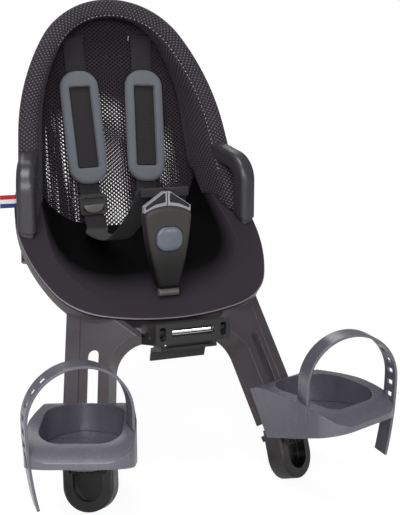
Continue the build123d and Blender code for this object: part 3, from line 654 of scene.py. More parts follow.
class Paint(Enum):
    """The seat's finishes."""

    FRAME = MouldedPlastic(
        "frame_finish", tint(62, 56, 60), rough=0.32, grain=1500.0, gloss=0.6, fade=SHOE_PAINTED_SHADOW
    )
    # Strong edge lightening here is a painted highlight along the pan's rim.
    PAN = MouldedPlastic(
        "pan_finish", tint(48, 43, 49), rough=0.6, grain=2200.0, depth=0.00003, mottle=0.08, edge=0.002,
        gloss=0.09, wear=4.0, fade=DISH_DARK_PLASTIC_AND_SHADE,
    )
    # A pale line painted as the highlight along the pan's rounded edge.
    BEAD = MouldedPlastic(
        "bead_finish", tint(118, 110, 115), rough=0.3, grain=2200.0, depth=0.00002, gloss=0.5
    )
    GUARD = MouldedPlastic(
        "guard_finish", tint(50, 48, 52), rough=0.34, grain=2600.0, depth=0.00003, gloss=0.6
    )
    BLACK = MouldedPlastic("black_finish", tint(42, 41, 42), rough=0.4, grain=1900.0, edge=0.0008)
    BUCKLE = MouldedPlastic("buckle_finish", tint(54, 52, 50), rough=0.42, grain=1900.0, fade=BUCKLE_PAINTED_SHADE)
    SLATE = MouldedPlastic(
        "slate_finish", tint(84, 83, 94), rough=0.27, grain=1700.0, depth=0.00003, mottle=0.05, gloss=0.9
    )
    LIGHT = MouldedPlastic("tongue_finish", tint(150, 150, 157), rough=0.4, grain=1900.0, edge=0.0008)
    ROLL = MouldedPlastic("roll_finish", tint(96, 92, 90), rough=0.38, grain=1900.0, edge=0.0008)
    BUTTON = MouldedPlastic(
        "button_finish", tint(92, 96, 108), rough=0.3, grain=2400.0, depth=0.00003, gloss=0.5
    )
    TUBE = MouldedPlastic("hoop_finish", tint(38, 38, 40), rough=0.35, grain=900.0, depth=0.00003)
    STEEL = Polished("steel_finish")
    BAR = Polished("bar_finish", reach=0.0245)
    WEB = WovenWeb("web_finish", tint(40, 38, 40))
    # The paler second colour is painted light seen through the mesh's holes.
    CLOTH = MeshCloth("cloth_finish", tint(38, 35, 38), tint(104, 98, 108))
    NET = KnitThread("net_finish", tint(42, 38, 43))
    # Near-black lining, partly the real backing and partly painted shade; also the pan's painted shadow
    # line.
    LINING = KnitThread("lining_finish", tint(16, 15, 16))
    # Pale beads of painted light showing through the band's edge.
    SEAM = KnitThread("seam_finish", tint(176, 174, 180))
    FOAM = FoamCloth("foam_finish", tint(97, 99, 106))
    RIBBON = StripedRibbon(
        "ribbon_finish", (tint(186, 36, 44), tint(236, 236, 240), tint(40, 58, 124)),
        middle=0.1073, high=0.0143,
    )

    def material(self) -> bpy.types.Material:
        """The Blender material, made the first time it is asked for."""
        return bpy.data.materials.get(self.value.name) or self.value.make()


# Mesh helpers


def turn_of(first: Pair, second: Pair, third: Pair) -> float:
    """Which way a path of three points bends, above nought for left."""
    ahead = (second[0] - first[0], second[1] - first[1])
    return ahead[0] * (third[1] - first[1]) - ahead[1] * (third[0] - first[0])


def ramp(value: float, span: float) -> float:
    """Nought below nought, one beyond the span, and a straight rise between."""
    return min(1.0, max(0.0, value / span))


def piece_from(
    name: str, verts: Sequence[Vector], faces: Sequence[Sequence[int]], paint: Paint, smooth: bool = True
) -> bpy.types.Object:
    """Makes an object from points in millimetres.

    Args:
        name: The piece's name.
        verts: Its points.
        faces: Its faces by point number.
        paint: Its finish.
        smooth: Whether its faces shade smoothly.

    Returns:
        The new object, at the origin.
    """
    mesh = bpy.data.meshes.new(name)
    mesh.from_pydata([tuple(v * MM) for v in verts], [], [tuple(f) for f in faces])
    mesh.materials.append(paint.material())
    mesh.polygons.foreach_set("use_smooth", [smooth] * len(mesh.polygons))
    mesh.update()
    obj = bpy.data.objects.new(name, mesh)
    bpy.context.scene.collection.objects.link(obj)
    return obj


def lay_uv(obj: bpy.types.Object, flat: Sequence[Pair]) -> None:
    """Gives an object a UV map in millimetres.

    Args:
        obj: The object.
        flat: One pair for each of its points.
    """
    layer = obj.data.uv_layers.new(name="UVMap")
    for loop in obj.data.loops:
        layer.data[loop.index].uv = flat[loop.vertex_index]


def bake(obj: bpy.types.Object) -> bpy.types.Object:
    """Turns an object's modifiers into its plain mesh.

    Args:
        obj: The object.

    Returns:
        The same object.
    """
    graph = bpy.context.evaluated_depsgraph_get()
    graph.update()
    mesh = bpy.data.meshes.new_from_object(obj.evaluated_get(graph))
    obj.modifiers.clear()
    obj.data = mesh
    return obj


def modify(obj: bpy.types.Object, kind: str, **settings: Any) -> bpy.types.Object:
    """Adds a modifier and applies it.

    Args:
        obj: The object.
        kind: The modifier's type.
        **settings: The modifier's settings by name.

    Returns:
        The same object.
    """
    modifier = obj.modifiers.new(kind.lower(), kind)
    for key, value in settings.items():
        setattr(modifier, key, value)
    return bake(obj)


def clean(obj: bpy.types.Object, bridge: bool = False) -> bpy.types.Object:
    """Merges doubled points and turns every face outwards.

    Args:
        obj: The object.
        bridge: Whether its two open rims are joined.

    Returns:
        The same object.
    """
    work = bmesh.new()
    work.from_mesh(obj.data)
    bmesh.ops.remove_doubles(work, verts=work.verts, dist=WELD)
    if bridge:
        bmesh.ops.bridge_loops(work, edges=[edge for edge in work.edges if edge.is_boundary])
    bmesh.ops.recalc_face_normals(work, faces=work.faces)
    for face in work.faces:
        face.smooth = True
    work.to_mesh(obj.data)
    work.free()
    return obj


def grid_faces(rows: int, columns: int, closed: bool = False) -> list[tuple[int, int, int, int]]:
    """Quads of a grid of points laid row by row.

    Args:
        rows: How many rows there are.
        columns: How many points a row has.
        closed: Whether the last column joins the first.

    Returns:
        The quads by point number.
    """
    faces = []
    for row in range(rows - 1):
        here, there = row * columns, (row + 1) * columns
        for column in range(columns if closed else columns - 1):
            near = (column + 1) % columns
            faces.append((here + column, here + near, there + near, there + column))
    return faces


def rounded_outline(width: float, length: float, corner: float, each: int) -> list[Pair]:
    """A rounded rectangle round its middle.

    Args:
        width: Its whole width.
        length: Its whole length.
        corner: The radius of its corners.
        each: The count of points on every corner.

    Returns:
        The outline's points.
    """
    points = []
    for spot, (right, up) in enumerate(((1, 1), (-1, 1), (-1, -1), (1, -1))):
        for step in range(each):
            angle = math.pi / 2 * (spot + step / (each - 1))
            x = right * (width / 2 - corner) + corner * math.cos(angle)
            points.append((x, up * (length / 2 - corner) + corner * math.sin(angle)))
    return points


def slice_of(
    name: str, near: Sequence[Vector], far: Sequence[Vector], paint: Paint, soft: float = 0.35
) -> bpy.types.Object:
    """A plate between two like outlines, with softened edges.

    Args:
        name: The piece's name.
        near: The first outline.
        far: The second outline.
        paint: Its finish.
        soft: The width of its softened edges.

    Returns:
        The plate.
    """
    count = len(near)
    faces: list[Sequence[int]] = [tuple(range(count)), tuple(range(2 * count - 1, count - 1, -1))]
    faces += grid_faces(2, count, closed=True)
    plate = clean(piece_from(name, list(near) + list(far), faces, paint, smooth=False))
    return modify(plate, "BEVEL", width=soft * MM, segments=2, limit_method="ANGLE")


def dress(nodes: dict[str, bpy.types.Object], paint: Paint, *names: str) -> None:
    """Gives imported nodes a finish.

    Args:
        nodes: The frame's nodes.
        paint: The finish.
        *names: The nodes' names.
    """
    for name in names:
        nodes[name].data.materials.clear()
        nodes[name].data.materials.append(paint.material())
        LOG.info("%s dressed in %s", name, paint.value.name)


def settle(piece: bpy.types.Object, slot: str, *nodes: str, body: Body = Body.SEAT) -> bpy.types.Object:
    """Rides a finished piece on its body and reports it.

    Args:
        piece: The piece.
        slot: Not used.
        *nodes: The nodes that it stands for.
        body: The body that it rides on.

    Returns:
        The same piece.
    """
    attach(piece, body.value)
    if nodes:
        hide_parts(*nodes)
    LOG.info("%s: %d faces on %s", piece.name, len(piece.data.polygons), body.value)
    return piece


def strip(name: str, spine: Sequence[Vector], across: Vector, size: Pair, paint: Paint) -> bpy.types.Object:
    """A flat strap with rounded edges along a line of points.

    Args:
        name: The piece's name.
        spine: The strap's middle line.
        across: The direction of its width.
        size: Its width and thickness.
        paint: Its finish.

    Returns:
        The strap, with a UV map of distances across and along it.
    """
    width, thick = size
    border, thin = 0.5, 0.18
    shares = (-border, -0.47, -0.25, 0.0, 0.25, 0.47, border)
    ring = [(share, thin if abs(share) == border else 0.5) for share in shares]
    ring += [(share, -lift) for share, lift in reversed(ring)]
    verts: list[Vector] = []
    flat: list[Pair] = []
    gone = 0.0
    for spot, centre in enumerate(spine):
        ahead = (spine[min(spot + 1, len(spine) - 1)] - spine[max(spot - 1, 0)]).normalized()
        edge = (across - ahead * across.dot(ahead)).normalized()
        face = edge.cross(ahead)
        if spot:
            gone += (centre - spine[spot - 1]).length
        for share, lift in ring:
            verts.append(centre + edge * (share * width) + face * (lift * thick))
            flat.append((share * width, gone))
    count = len(ring)
    faces: list[Sequence[int]] = list(grid_faces(len(spine), count, closed=True))
    faces.append(tuple(reversed(range(count))))
    faces.append(tuple(range(len(verts) - count, len(verts))))
    strap = piece_from(name, verts, faces, paint)
    lay_uv(strap, flat)
    return clean(strap)


def smooth_line(points: Sequence[Vector], steps: int) -> list[Vector]:
    """A soft curve through every point.

    Args:
        points: The points.
        steps: The count of steps between each two.

    Returns:
        The curve's points.
    """
    line = []
    for spot in range(len(points) - 1):
        before = points[max(spot - 1, 0)]
        start, end = points[spot], points[spot + 1]
        after = points[min(spot + 2, len(points) - 1)]
        for step in range(steps):
            t = step / steps
            bend = (end - before) * t + (2 * before - 5 * start + 4 * end - after) * t**2
            line.append(start + (bend + (3 * start - before - 3 * end + after) * t**3) / 2)
    return line + [points[-1]]


def chain(name: str, path: Sequence[Vector], paint: Paint) -> bpy.types.Object:
    """An object of edges alone, as the path of a node tree.

    Args:
        name: The piece's name.
        path: Its points in order.
        paint: Its finish.

    Returns:
        The new object.
    """
    obj = piece_from(name, path, [], paint)
    obj.data.edges.add(len(path) - 1)
    obj.data.edges.foreach_set("vertices", [end for i in range(len(path) - 1) for end in (i, i + 1)])
    return obj


class NodeBuild:
    """A geometry node tree with named inputs, ended by Realize Instances and Set Material."""

    def __init__(self, name: str) -> None:
        """Starts an empty tree.

        Args:
            name: The tree's name.
        """
        self.tree = bpy.data.node_groups.new(name, "GeometryNodeTree")
        self.tree.interface.new_socket("Geometry", in_out="INPUT", socket_type="NodeSocketGeometry")
        self.tree.interface.new_socket("Geometry", in_out="OUTPUT", socket_type="NodeSocketGeometry")
        self.entry = self.tree.nodes.new("NodeGroupInput")
        self.exit = self.tree.nodes.new("NodeGroupOutput")
        self.geometry = self.entry.outputs[0]

    def given(self, name: str, kind: str) -> bpy.types.NodeSocket:
        """Adds a named input of a socket kind, such as Float or Object."""
        self.tree.interface.new_socket(name, in_out="INPUT", socket_type="NodeSocket" + kind)
        return self.entry.outputs[name]

    def add(self, kind: str, out: Union[int, str] = 0, **sockets: Any) -> bpy.types.NodeSocket:
        """Adds a node.

        Args:
            kind: The node's type without its GeometryNode prefix.
            out: The output that is wanted.
            **sockets: Node properties, or values and sockets by input name with underscores for spaces.

        Returns:
            The wanted output socket.
        """
        node = self.tree.nodes.new("GeometryNode" + kind)
        for key, value in sockets.items():
            if hasattr(node, key) and key not in node.inputs:
                setattr(node, key, value)
                continue
            socket = node.inputs[key.replace("_", " ")]
            if isinstance(value, bpy.types.NodeSocket):
                self.tree.links.new(value, socket)
            else:
                socket.default_value = value
        return node.outputs[out]

    def finish(self, last: bpy.types.NodeSocket, weld: bpy.types.NodeSocket, paint: Paint) -> None:
        """Ends the tree in real, welded geometry with a material.

        Args:
            last: The geometry that comes out.
            weld: The distance within which points are merged.
            paint: The finish.
        """
        real = self.add("RealizeInstances", Geometry=last)
        joined = self.add("MergeByDistance", Geometry=real, Distance=weld)
        done = self.add("SetMaterial", Geometry=joined, Material=paint.material())
        self.tree.links.new(done, self.exit.inputs[0])

    def apply(self, obj: bpy.types.Object, inputs: dict[str, Any]) -> bpy.types.Object:
        """Runs the tree on an object and keeps the plain mesh.

        Args:
            obj: The object whose mesh goes in.
            inputs: Values of the named inputs.

        Returns:
            The same object with the tree's result as its mesh.
        """
        modifier = obj.modifiers.new(self.tree.name, "NODES")
        modifier.node_group = self.tree
        for item in self.tree.interface.items_tree:
            if item.item_type == "SOCKET" and item.in_out == "INPUT" and item.name in inputs:
                modifier[item.identifier] = inputs[item.name]
        return bake(obj)


# Sub-assemblies


@dataclass(frozen=True)
class Pane:
    """A see-through area of the panel with soft borders, in millimetres across and up the panel."""

    across: Pair
    along: Pair
    soft_across: Pair
    soft_along: Pair
    share: float

    def at(self, across: float, along: float) -> float:
        """How open the panel is at a spot.

        Args:
            across: The spot's distance to the side.
            along: The spot's distance up the panel.

        Returns:
            A value from nought to the pane's share.
        """
        side = ramp(across - self.across[0], self.soft_across[0])
        side *= ramp(self.across[1] - across, self.soft_across[1])
        level = ramp(along - self.along[0], self.soft_along[0])
        level *= ramp(self.along[1] - along, self.soft_along[1])
        return self.share * side * level


MIDDLE_PANE = Pane(
    across=(-46.0, 20.0), along=(-300.0, 100.0),
    soft_across=(8.0, 14.0), soft_along=(1.0, 1.0), share=0.88,
)
RIGHT_PANE = Pane(
    across=(50.0, 84.0), along=(-196.0, -104.0),
    soft_across=(6.0, 16.0), soft_along=(20.0, 30.0), share=0.55,
)


@dataclass
class Back:
    """The mesh cover over the hoop: rolled band, side walls and a see-through panel of two nets."""

    nodes: dict[str, bpy.types.Object]
    wall: float = 11.0
    panel_wall: float = 4.0
    wall_shares: tuple[float, ...] = (0.0, 0.2, 0.4, 0.6, 0.8, 0.93)
    band: float = 21.0
    roll: float = 7.0
    roll_sink: float = 2.0
    roll_full: float = 0.8
    roll_steps: int = 8
    waist: float = 2.5
    cloth: float = 0.9
    clear: float = 1.0
    probe_rise: float = 120.0
    probe_ahead: float = 2.0
    probe_reach: float = 300.0
    halvings: int = 10
    counts: tuple[int, int, int] = (18, 18, 26)
    net_counts: tuple[int, int, int] = (24, 24, 4)
    pitch: Pair = MESH_PITCH
    hole: float = 1.25
    rear_hole: float = 1.45
    plug_hole: float = 0.05
    plug_loss: float = 0.85
    plug_limit: float = 0.95
    ring_sides: int = 8
    ring_rise: float = 0.35
    ring_weld: float = 0.05
    front_net: float = -0.8
    lining: float = -2.2
    rear_net: float = -3.4
    hem: float = 6.0
    hem_lap: float = 1.0
    hem_step: float = 2.0
    hem_place: float = -4.2
    hem_thick: float = 1.6
    slot_half: Pair = (15.5, 4.5)
    slot_glimpse: Pair = (3.0, 9.0)
    overlap: float = 6.0
    clear_top: float = -62.0
    clear_peak: float = -14.0
    clear_slope: float = 0.3
    clear_foot: float = -246.0
    clear_soft: Pair = (26.0, 16.0)
    fold_edge: float = -38.0
    fold_soft: float = 10.0
    fold_sharp: float = 1.5
    fold_fine: Pair = (2.3, 70.0)
    fold_coarse: Pair = (7.0, 50.0)
    fold_fade_start: float = -150.0
    fold_fade_span: float = 60.0
    fold_fade_loss: float = 0.2
    sway: float = 1.9
    sway_wave: Pair = (4.6, 90.0)
    sway_reach: float = 60.0
    sag: float = 1.1
    sag_wave: Pair = (50.0, 34.0)
    drift: float = 0.022
    # Pale beads of painted light along the band's inner edge.
    stitch_radius: float = 0.55
    stitch_straight: float = 0.6
    stitch_half: float = 1.0
    stitch_sides: int = 6
    stitch_step: float = 5.2
    stitch_turn: float = 0.9
    stitch_lift: float = 0.5
    stitch_weld: float = 0.01

    def arches(self) -> list[list[Pair]]:
        """The four outlines that the bag is drawn between.

        Returns:
            The outer back, outer front, inner front and inner back outlines.
        """
        return [
            PANEL_ARCH.whole(-self.wall, self.counts),
            HOOP_ARCH.whole(0.0, self.counts),
            HOOP_ARCH.whole(self.band, self.counts),
            PANEL_ARCH.whole(0.0, self.counts),
        ]

    def on_roll(self, outer: Vector, inner: Vector, turn: float) -> Vector:
        """A point of the rolled band.

        Args:
            outer: The band's outer edge.
            inner: Its inner edge.
            turn: The share of the way from the outer edge to the inner one.

        Returns:
            The point in millimetres.
        """
        angle = math.pi * turn
        lift = math.sin(angle) ** self.roll_full * self.roll - self.roll_sink
        return (outer + inner) / 2 + (outer - inner) / 2 * math.cos(angle) + HOOP.normal * lift

    def section(self, index: int, arches: Sequence[Sequence[Pair]]) -> list[Vector]:
        """One cross-section of the bag, from its outer back edge round the roll to its inner back edge.

        Args:
            index: The station along the arch.
            arches: The four outlines.

        Returns:
            The section's points.
        """
        outer_back = PANEL.at(*arches[0][index], -self.panel_wall)
        outer_front = HOOP.at(*arches[1][index])
        inner_front = HOOP.at(*arches[2][index])
        inner_back = PANEL.at(*arches[3][index])
        outward = (outer_front - inner_front).normalized()
        points = []
        for share in self.wall_shares:
            pull = math.sin(math.pi * share) * self.waist
            points.append(outer_back.lerp(outer_front, share) - outward * pull)
        steps = self.roll_steps
        points += [self.on_roll(outer_front, inner_front, step / steps) for step in range(steps + 1)]
        for share in reversed(self.wall_shares):
            pull = math.sin(math.pi * share) * self.waist
            points.append(inner_back.lerp(inner_front, share) - outward * pull)
        return points

    def lies_under(self, pan: BVHTree, point: Vector) -> bool:
        """Whether a point is below the pan, or below the rim's plane where there is no pan.

        Args:
            pan: The pan's faces.
            point: The point in millimetres.

        Returns:
            True where the cloth has to end above the point.
        """
        start = (point + RIM.normal * self.probe_rise + PANEL.normal * self.probe_ahead) * MM
        found = pan.ray_cast(start, -RIM.normal, self.probe_reach * MM)[0]
        floor = found if found else RIM.at(0.0, 0.0) * MM
        return (point * MM - floor).dot(RIM.normal) < self.clear * MM

    def trim(self, rows: list[list[Vector]]) -> None:
        """Ends every line of the bag where it meets the pan or the rim.

        Args:
            rows: The bag's sections, which are changed in place.
        """
        mesh = self.nodes["seat_pan"].data
        pan = BVHTree.FromPolygons([v.co for v in mesh.vertices], [p.vertices for p in mesh.polygons])
        crown = len(rows) // 2
        for column in range(len(rows[0])):
            for step in (1, -1):
                spot = crown
                while 0 <= spot < len(rows) and not self.lies_under(pan, rows[spot][column]):
                    spot += step
                if not 0 <= spot < len(rows):
                    continue
                good, bad = rows[spot - step][column], rows[spot][column]
                for _ in range(self.halvings):
                    middle = (good + bad) / 2
                    good, bad = (good, middle) if self.lies_under(pan, middle) else (middle, bad)
                while 0 <= spot < len(rows):
                    rows[spot][column] = good
                    spot += step

    def build_bag(self) -> tuple[bpy.types.Object, Pair, float]:
        """The band and the two walls as one sewn sheet.

        Returns:
            The sheet, the width and length of its cut and its flat area, in metres.
        """
        arches = self.arches()
        rows = [self.section(index, arches) for index in range(len(arches[0]))]
        flat: list[Pair] = []
        along = widest = 0.0
        for index, row in enumerate(rows):
            if index:
                along += (row[len(row) // 2] - rows[index - 1][len(row) // 2]).length
            gone = 0.0
            for spot, point in enumerate(row):
                if spot:
                    gone += (point - row[spot - 1]).length
                flat.append((gone, along))
            widest = max(widest, gone)
        self.trim(rows)
        verts = [point for row in rows for point in row]
        bag = piece_from("back_bag", verts, grid_faces(len(rows), len(rows[0])), Paint.CLOTH)
        lay_uv(bag, flat)
        count = len(rows[0])
        inner = len(self.wall_shares) + self.roll_steps - 1
        # Painted shade: the depth attribute dims the pale dots towards the inner wall's back edge.
        depth = bag.data.attributes.new("depth", "FLOAT", "POINT")
        inner_wall_shade = [ramp(spot % count - inner, count - 1 - inner) for spot in range(len(verts))]
        depth.data.foreach_set("value", inner_wall_shade)
        clean(bag)
        area = sum(face.area for face in bag.data.polygons)
        modify(bag, "SOLIDIFY", thickness=self.cloth * MM, offset=0.0)
        return bag, (widest * MM, along * MM), area

    def by_strap(self, across: float) -> bool:
        """Whether a distance to the side is within the width of a strap's slot."""
        return abs(abs(across) - STRAP_ACROSS) < self.slot_half[0]

    def net_spots(self) -> list[Pair]:
        """Middles of the net's meshes, in the panel's own plane.

        Returns:
            Pairs of distance across and up the panel.
        """
        outline = PANEL_ARCH.half(-self.overlap, self.net_counts)
        spots = []
        top = PANEL_ARCH.top + self.overlap
        rows = int((top - PANEL_ARCH.foot) / (self.pitch[1] / 2))
        for row in range(1, rows):
            along = top - row * self.pitch[1] / 2
            reach = 0.0
            for (x0, high), (x1, low) in zip(outline, outline[1:]):
                if low <= along <= high:
                    reach = x0 + (x1 - x0) * (high - along) / max(high - low, 1e-6)
            count = int(reach / self.pitch[0]) + 1
            for column in range(-count, count + 1):
                across = (column + 0.5 * (row % 2)) * self.pitch[0]
                in_slot = self.by_strap(across) and abs(along) < self.slot_half[1]
                if abs(across) <= reach and not in_slot:
                    spots.append((across, along))
        return spots

    def build_net(
        self, name: str, spots: Sequence[Triple], out: float, hole: float, paint: Paint = Paint.NET
    ) -> bpy.types.Object:
        """One layer of the panel: a knitted ring set on every mesh of a staggered lattice.

        Args:
            name: The layer's name.
            spots: The middles of its meshes and the size of each.
            out: Its place in front of the panel's plane.
            hole: The radius of the opening in each mesh.
            paint: Its finish.

        Returns:
            The layer as a plain mesh.
        """
        base = piece_from(name, [Vector((across, along, 0.0)) for across, along, _ in spots], [], paint)
        sizes = base.data.attributes.new("size", "FLOAT", "POINT")
        sizes.data.foreach_set("value", [size for _, _, size in spots])
        outer, inner = [], []
        for step in range(self.ring_sides):
            angle = TURN * step / self.ring_sides
            far = 0.5 if step % 2 == 0 else 0.5 / math.sqrt(2)
            x, y = math.cos(angle), math.sin(angle)
            outer.append(Vector((far * x * self.pitch[0], far * y * self.pitch[1], 0.0)))
            inner.append(Vector((hole * x, hole * y, self.ring_rise)))
        ring = piece_from("net_ring", outer + inner, grid_faces(2, self.ring_sides, closed=True), paint)
        tree = NodeBuild("lay_" + name)
        points = tree.add("MeshToPoints", mode="VERTICES", Mesh=tree.geometry)
        shape = tree.add("ObjectInfo", out="Geometry", Object=tree.given("Ring", "Object"))
        size = tree.add("InputNamedAttribute", data_type="FLOAT", Name="size")
        laid = tree.add("InstanceOnPoints", Points=points, Instance=shape, Scale=size)
        tree.finish(laid, tree.given("Weld", "Float"), paint)
        net = tree.apply(base, {"Ring": ring, "Weld": self.ring_weld * MM})
        bpy.data.objects.remove(ring)
        lean = Matrix.Rotation(math.radians(90 - PANEL.lean), 4, "X")
        net.data.transform(Matrix.Translation(PANEL.at(0.0, 0.0, out) * MM) @ lean)
        return net

    def clearness(self, across: float, along: float) -> float:
        """How much of the panel's rear is open at a spot, from nought to one.

        Args:
            across: The spot's distance to the side.
            along: The spot's distance up the panel.

        Returns:
            The share of meshes that the close lining leaves open.
        """
        if self.by_strap(across) and self.slot_glimpse[0] < along < self.slot_glimpse[1]:
            return 1.0
        border = self.clear_top - self.clear_slope * abs(across - self.clear_peak)
        whole = ramp(border - along, self.clear_soft[0]) * ramp(along - self.clear_foot, self.clear_soft[1])
        fine = math.sin(across / self.fold_fine[0] + along / self.fold_fine[1])
        coarse = math.cos(across / self.fold_coarse[0] - along / self.fold_coarse[1])
        fold = 0.5 + 0.5 * fine * coarse
        left = ramp(self.fold_edge - across, self.fold_soft) * fold**self.fold_sharp
        left *= 1.0 - self.fold_fade_loss * ramp(self.fold_fade_start - along, self.fold_fade_span)
        return whole * max(MIDDLE_PANE.at(across, along), left, RIGHT_PANE.at(across, along))

    def rear_spot(self, across: float, along: float) -> Triple:
        """A mesh of the slack rear layer, drawn into soft upright folds towards the sides.

        Args:
            across: The mesh's distance to the side when taut.
            along: Its distance up the panel when taut.

        Returns:
            Its place when slack, and its size.
        """
        wave = math.sin(across / self.sway_wave[0] + along / self.sway_wave[1])
        sway = self.sway * wave * ramp(abs(across), self.sway_reach)
        sag = self.sag * math.sin(along / self.sag_wave[1] + across / self.sag_wave[0])
        return (across + sway + self.drift * along, along + sag, 1.0)

    def build_hem(self) -> bpy.types.Object:
        """The binding round the panel, where the nets are sewn to the walls.

        Returns:
            The binding as a thin closed band.
        """
        outer = PANEL_ARCH.whole(-self.hem_lap, self.counts)
        inner = PANEL_ARCH.whole(self.hem, self.counts)
        verts = [PANEL.at(*point, self.hem_place) for point in outer + inner]
        flat = [(across, self.hem_step * i) for across in (0.0, self.hem) for i in range(len(outer))]
        hem = piece_from("panel_hem", verts, grid_faces(2, len(outer)), Paint.CLOTH)
        lay_uv(hem, flat)
        return modify(hem, "SOLIDIFY", thickness=self.hem_thick * MM, offset=0.0)

    def build_stitches(self) -> bpy.types.Object:
        """Pale beads along the band's inner edge, over the crown and down the right side, painted as light
        showing through the band's edge.

        Returns:
            The beads as a plain mesh.
        """
        arches = self.arches()
        crown = len(arches[0]) // 2
        path = []
        for index in range(crown - self.counts[0], crown + sum(self.counts) - self.counts[2] // 2):
            outer, inner = HOOP.at(*arches[1][index]), HOOP.at(*arches[2][index])
            path.append(self.on_roll(outer, inner, self.stitch_turn) + HOOP.normal * self.stitch_lift)
        light_dots = chain("band_stitches", path, Paint.SEAM)
        radius, sides = self.stitch_radius, self.stitch_sides
        bead = [Vector((0.0, 0.0, -self.stitch_half)), Vector((0.0, 0.0, self.stitch_half))]
        turns = [TURN * s / sides for s in range(sides)]
        for level in (-self.stitch_straight, self.stitch_straight):
            bead += [Vector((radius * math.cos(turn), radius * math.sin(turn), level)) for turn in turns]
        low, high = 2, 2 + sides
        faces: list[Sequence[int]] = [(0, low + (s + 1) % sides, low + s) for s in range(sides)]
        faces += [(1, high + s, high + (s + 1) % sides) for s in range(sides)]
        faces += [(low + s, low + (s + 1) % sides, high + (s + 1) % sides, high + s) for s in range(sides)]
        stitch = piece_from("stitch", bead, faces, Paint.SEAM)
        tree = NodeBuild("sew_band")
        line = tree.add("MeshToCurve", Mesh=tree.geometry)
        gap = tree.given("Stitch Step", "Float")
        points = tree.add("CurveToPoints", mode="LENGTH", Curve=line, Length=gap)
        shape = tree.add("ObjectInfo", out="Geometry", Object=tree.given("Stitch", "Object"))
        turned = points.node.outputs["Rotation"]
        laid = tree.add("InstanceOnPoints", Points=points, Instance=shape, Rotation=turned)
        tree.finish(laid, tree.given("Weld", "Float"), Paint.SEAM)
        inputs = {"Stitch Step": self.stitch_step * MM, "Stitch": stitch, "Weld": self.stitch_weld * MM}
        tree.apply(light_dots, inputs)
        bpy.data.objects.remove(stitch)
        return light_dots

    def build(self) -> None:
        """Makes the cover and puts it in place of its solid."""
        bag, cut, area = self.build_bag()
        settle(bag, "mesh_fabric", "back_cover")
        spots = self.net_spots()
        clear = [self.clearness(*spot) for spot in spots]
        front = [(across, along, 1.0) for across, along in spots]
        rear = [self.rear_spot(*spot) for spot in spots]
        # The near-black lining closes the net where it shows dark: partly the real backing, partly painted
        # shade.
        closed = [(spot, share) for spot, share in zip(spots, clear) if share < self.plug_limit]
        plugs = [(*spot, 1.0 - self.plug_loss * share) for spot, share in closed]
        sewn = [
            self.build_net("panel_net", front, self.front_net, self.hole),
            self.build_net("panel_net_rear", rear, self.rear_net, self.rear_hole),
            self.build_net("panel_lining", plugs, self.lining, self.plug_hole, Paint.LINING),
            self.build_hem(),
            self.build_stitches(),
        ]
        for piece in sewn:
            settle(piece, "mesh_fabric")
        dress(self.nodes, Paint.TUBE, "back_hoop")
        dress(self.nodes, Paint.BLACK, "strap_plate")
        dress(self.nodes, Paint.RIBBON, "ribbon_tag")


